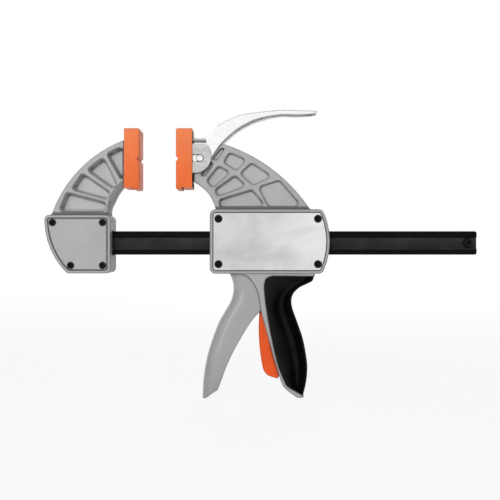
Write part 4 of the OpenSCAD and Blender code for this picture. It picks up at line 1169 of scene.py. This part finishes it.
class CLAMP_OT_grip(Piece, bpy.types.Operator):
    """Black rubber grip moulded round the handle's spine"""
    bl_idname = "clamp.grip"
    bl_label = "Grip"

    def execute(self, context):
        # Sections from the grip's top to its tip. Each starts beside the spine at the front, goes
        # round a small front corner, along the side and over the palm, where y is
        # w (1 - s^p)^(1/p), and back inside along the spine. s is the share of the way from the
        # front to the palm.
        n, p = 90, 3.2
        corner, sag, palm_depth, palm_wall, beside_spine = 1.4, 1.1, 12.5, 4.2, 11.6
        share = np.linspace(0, 1, n)
        front, back = in_step(GRIP_FRONT, GRIP_BACK, n)
        front = front + (0.1, 0)
        span = np.linalg.norm(back - front, axis=1)
        width = (15.5 - 3.2 * smooth(share, 0.82, 1.0) ** 2)[:, None]
        start = np.maximum(1 - palm_depth / np.maximum(span, 1), 0.3)[:, None]
        c, a = np.linspace(0, np.pi / 2, 6)[::-1], np.linspace(0, np.pi / 2, 24)
        wall = np.linspace(0, 1, 8)[1:-1]
        at_corner = corner * (1 - np.sin(c)) / np.maximum(span, 8)[:, None]
        s = (np.zeros((n, 1)), at_corner, at_corner[:, -1:] + (start - at_corner[:, -1:]) * wall,
             start + (1 - start) * np.sin(a)[None] ** (2 / p))
        y = (np.minimum(beside_spine, width - 1.5), width - corner * (1 - np.cos(c))[None],
             width - sag * wall ** 2, (width - sag) * np.cos(a) ** (2 / p))
        s, y = np.concatenate(s, 1), np.concatenate(y, 1)
        inside = np.clip((span - palm_wall) / np.maximum(span, 1), 0, 1)
        inside *= 1 - smooth(share, 0.86, 0.95)
        s = np.concatenate((s, s[:, -2::-1], inside[:, None], inside[:, None]), 1)
        y = np.concatenate((y, -y[:, -2::-1], -y[:, :1], y[:, :1]), 1)
        xz = front[:, None] + (back - front)[:, None] * s[..., None]
        rings = np.stack((xz[..., 0], y, xz[..., 1]), -1)
        skin = Skin()
        skin.grid(rings)
        skin.cap(rings[0])
        make("rubber_grip", skin, "jaw_carriage", ["handle_grip"], RUBBER, JAW_X, facet=50)
        return {"FINISHED"}


def walled(piece, thickness, edge):
    """Gives a sheet its thickness inwards and rounds its free edges."""
    mod = piece.modifiers.new("Wall", "SOLIDIFY")
    mod.thickness = thickness * MM
    mod.offset = -1
    mod.use_even_offset = True
    mod.use_quality_normals = True
    bevel(piece, edge, 2, 45)


class CLAMP_OT_trigger(Piece, bpy.types.Operator):
    """Squeeze trigger: a sheet bent to a U with a rounded front, and its two bosses"""
    bl_idname = "clamp.trigger"
    bl_label = "Trigger"

    def execute(self, context):
        n, inside, outside = 100, 8.6, 11.3
        near, far = in_step(TRIGGER_FRONT, TRIGGER_BACK, n)
        skin = Skin()
        channel(skin, near, far, np.full(n, outside), size("trigger_depth"), 0.6,
                web=near[:, 1] < BODY_BOTTOM + 4, n=22, power=0.95)
        piece = make("trigger_shell", skin, "squeeze_trigger", ["trigger"], TRIGGER, JAW_X,
                     facet=50, sheet=True)
        walled(piece, 2.6, 0.5)
        skin = Skin()
        boss = left_turning(circle(TRIGGER_PIN, 6, 48))
        for y0, y1 in ((-outside, -inside), (inside, outside)):
            slab(skin, boss, y0, y1, 0.4)
        make("trigger_bosses", skin, "squeeze_trigger", ["trigger"], TRIGGER, JAW_X)
        return {"FINISHED"}


class CLAMP_OT_release_lever(Piece, bpy.types.Operator):
    """Orange brake release lever inside the handle"""
    bl_idname = "clamp.release_lever"
    bl_label = "Release Lever"

    def execute(self, context):
        skin, half = Skin(), 6.5
        slab(skin, left_turning(resample(RELEASE_OUTLINE, 0.9)), -half, half, 1.3, steps=5)
        make("brake_release_lever", skin, "brake_release", ["release_lever"], PLASTIC, JAW_X)
        return {"FINISHED"}


class CLAMP_OT_quick_lever(Piece, bpy.types.Operator):
    """Chromed quick release lever, a sheet bent to a channel with a fork at its pin"""
    bl_idname = "clamp.quick_lever"
    bl_label = "Quick Release Lever"

    def execute(self, context):
        near, far = (curve[1:-1] for curve in in_step(LEVER_TOP, LEVER_UNDER, 150))
        # Half the width is 10.5 at the fork, 7.5 along the handle, and less towards the tip.
        half = 10.5 - 3.0 * smooth(near[:, 0], 42, 72) - 2.2 * smooth(near[:, 0], 98, 105) ** 2
        web = (near[:, 0] > 14.6) & (near[:, 1] > 20)
        skin = Skin()
        channel(skin, near + LEVER_PIN, far + LEVER_PIN, half, size("lever_depth"), 0.5, web,
                rim=1.8)
        piece = make("quick_release_handle", skin, "quick_release", ["quick_release_lever"],
                     CHROME, JAW_X, facet=50, sheet=True)
        walled(piece, 1.5, 0.3)
        return {"FINISHED"}


class CLAMP_OT_carrier(Piece, bpy.types.Operator):
    """Pad carrier with its lever pin, rivets and end caps, and the bar's guide sleeves"""
    bl_idname = "clamp.carrier"
    bl_label = "Pad Carrier and Guides"

    def execute(self, context):
        from_frame("slotted_pad_carrier", "pad_carrier", "pad_slide", ZINC, 0.3)
        from_frame("pad_closing_caps", "pad_end_caps", "pad_slide", RUBBER, 0.4)
        from_frame("front_guide_sleeve", "front_bar_guide", "jaw_carriage", STEEL, 0.25)
        from_frame("rear_guide_sleeve", "rear_bar_guide", "jaw_carriage", STEEL, 0.25)
        skin = Skin()
        y = 12.68         # half the pin's length
        half = [(y - 0.3, 0), (y - 0.3, 1.0), (y, 1.25), (y, 2.5), (y - 0.4, 2.93)]
        turned(skin, [(-a, r) for a, r in half] + half[::-1], LEVER_PIN)
        make("peened_lever_pin", skin, "jaw_carriage", ["lever_pin"], PIN_CHROME, JAW_X)
        skin = Skin()
        rivet = [(-26, 0), (-26, 1.5), (-15.7, 1.5), (-15.7, 3), (-15.5, 2.9), (-15.36, 2),
                 (-15.33, 0)]
        for z in (55.55, 96.6):
            turned(skin, rivet, (0, z), "x")
        make("pad_rivet_heads", skin, "pad_slide", ["pad_rivets"], STEEL, JAW_X)
        return {"FINISHED"}


class CLAMP_OT_mechanism(Piece, bpy.types.Operator):
    """Finishes of the frame's own pieces inside the body"""
    bl_idname = "clamp.mechanism"
    bl_label = "Mechanism"

    def execute(self, context):
        look = finish("Bright Steel")
        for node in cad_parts.values():
            if node.hide_render:
                continue
            for slot in node.material_slots:
                slot.material = look
            if not node.material_slots:
                node.data.materials.append(look)
        return {"FINISHED"}


class CLAMP_PT_pieces(bpy.types.Panel):
    """Sizes, colours and pieces of the bar clamp"""
    bl_label = "Bar Clamp"
    bl_idname = "CLAMP_PT_pieces"
    bl_space_type = "VIEW_3D"
    bl_region_type = "UI"
    bl_category = "Bar Clamp"

    def draw(self, context):
        for group_name in ("clamp_sizes", "clamp_colours"):
            values = getattr(context.scene, group_name)
            box = self.layout.box()
            for key in type(values).__annotations__:
                box.prop(values, key)
        for operator in OPERATORS:
            self.layout.operator(operator.bl_idname)


OPERATORS = (CLAMP_OT_stage, CLAMP_OT_bar, CLAMP_OT_fixed_jaw, CLAMP_OT_sliding_jaw,
             CLAMP_OT_covers, CLAMP_OT_pads, CLAMP_OT_carrier, CLAMP_OT_grip, CLAMP_OT_trigger,
             CLAMP_OT_release_lever, CLAMP_OT_quick_lever, CLAMP_OT_mechanism)
CLASSES = (ClampSizes, ClampColours, *OPERATORS, CLAMP_PT_pieces)


def register():
    for item in CLASSES:
        bpy.utils.register_class(item)
    bpy.types.Scene.clamp_sizes = PointerProperty(type=ClampSizes)
    bpy.types.Scene.clamp_colours = PointerProperty(type=ClampColours)


def unregister():
    del bpy.types.Scene.clamp_colours
    del bpy.types.Scene.clamp_sizes
    for item in reversed(CLASSES):
        bpy.utils.unregister_class(item)


def main():
    register()
    for operator in OPERATORS:
        area_name, piece_name = operator.bl_idname.split(".")
        getattr(getattr(bpy.ops, area_name), piece_name)()


if __name__ == "__main__":
    main()
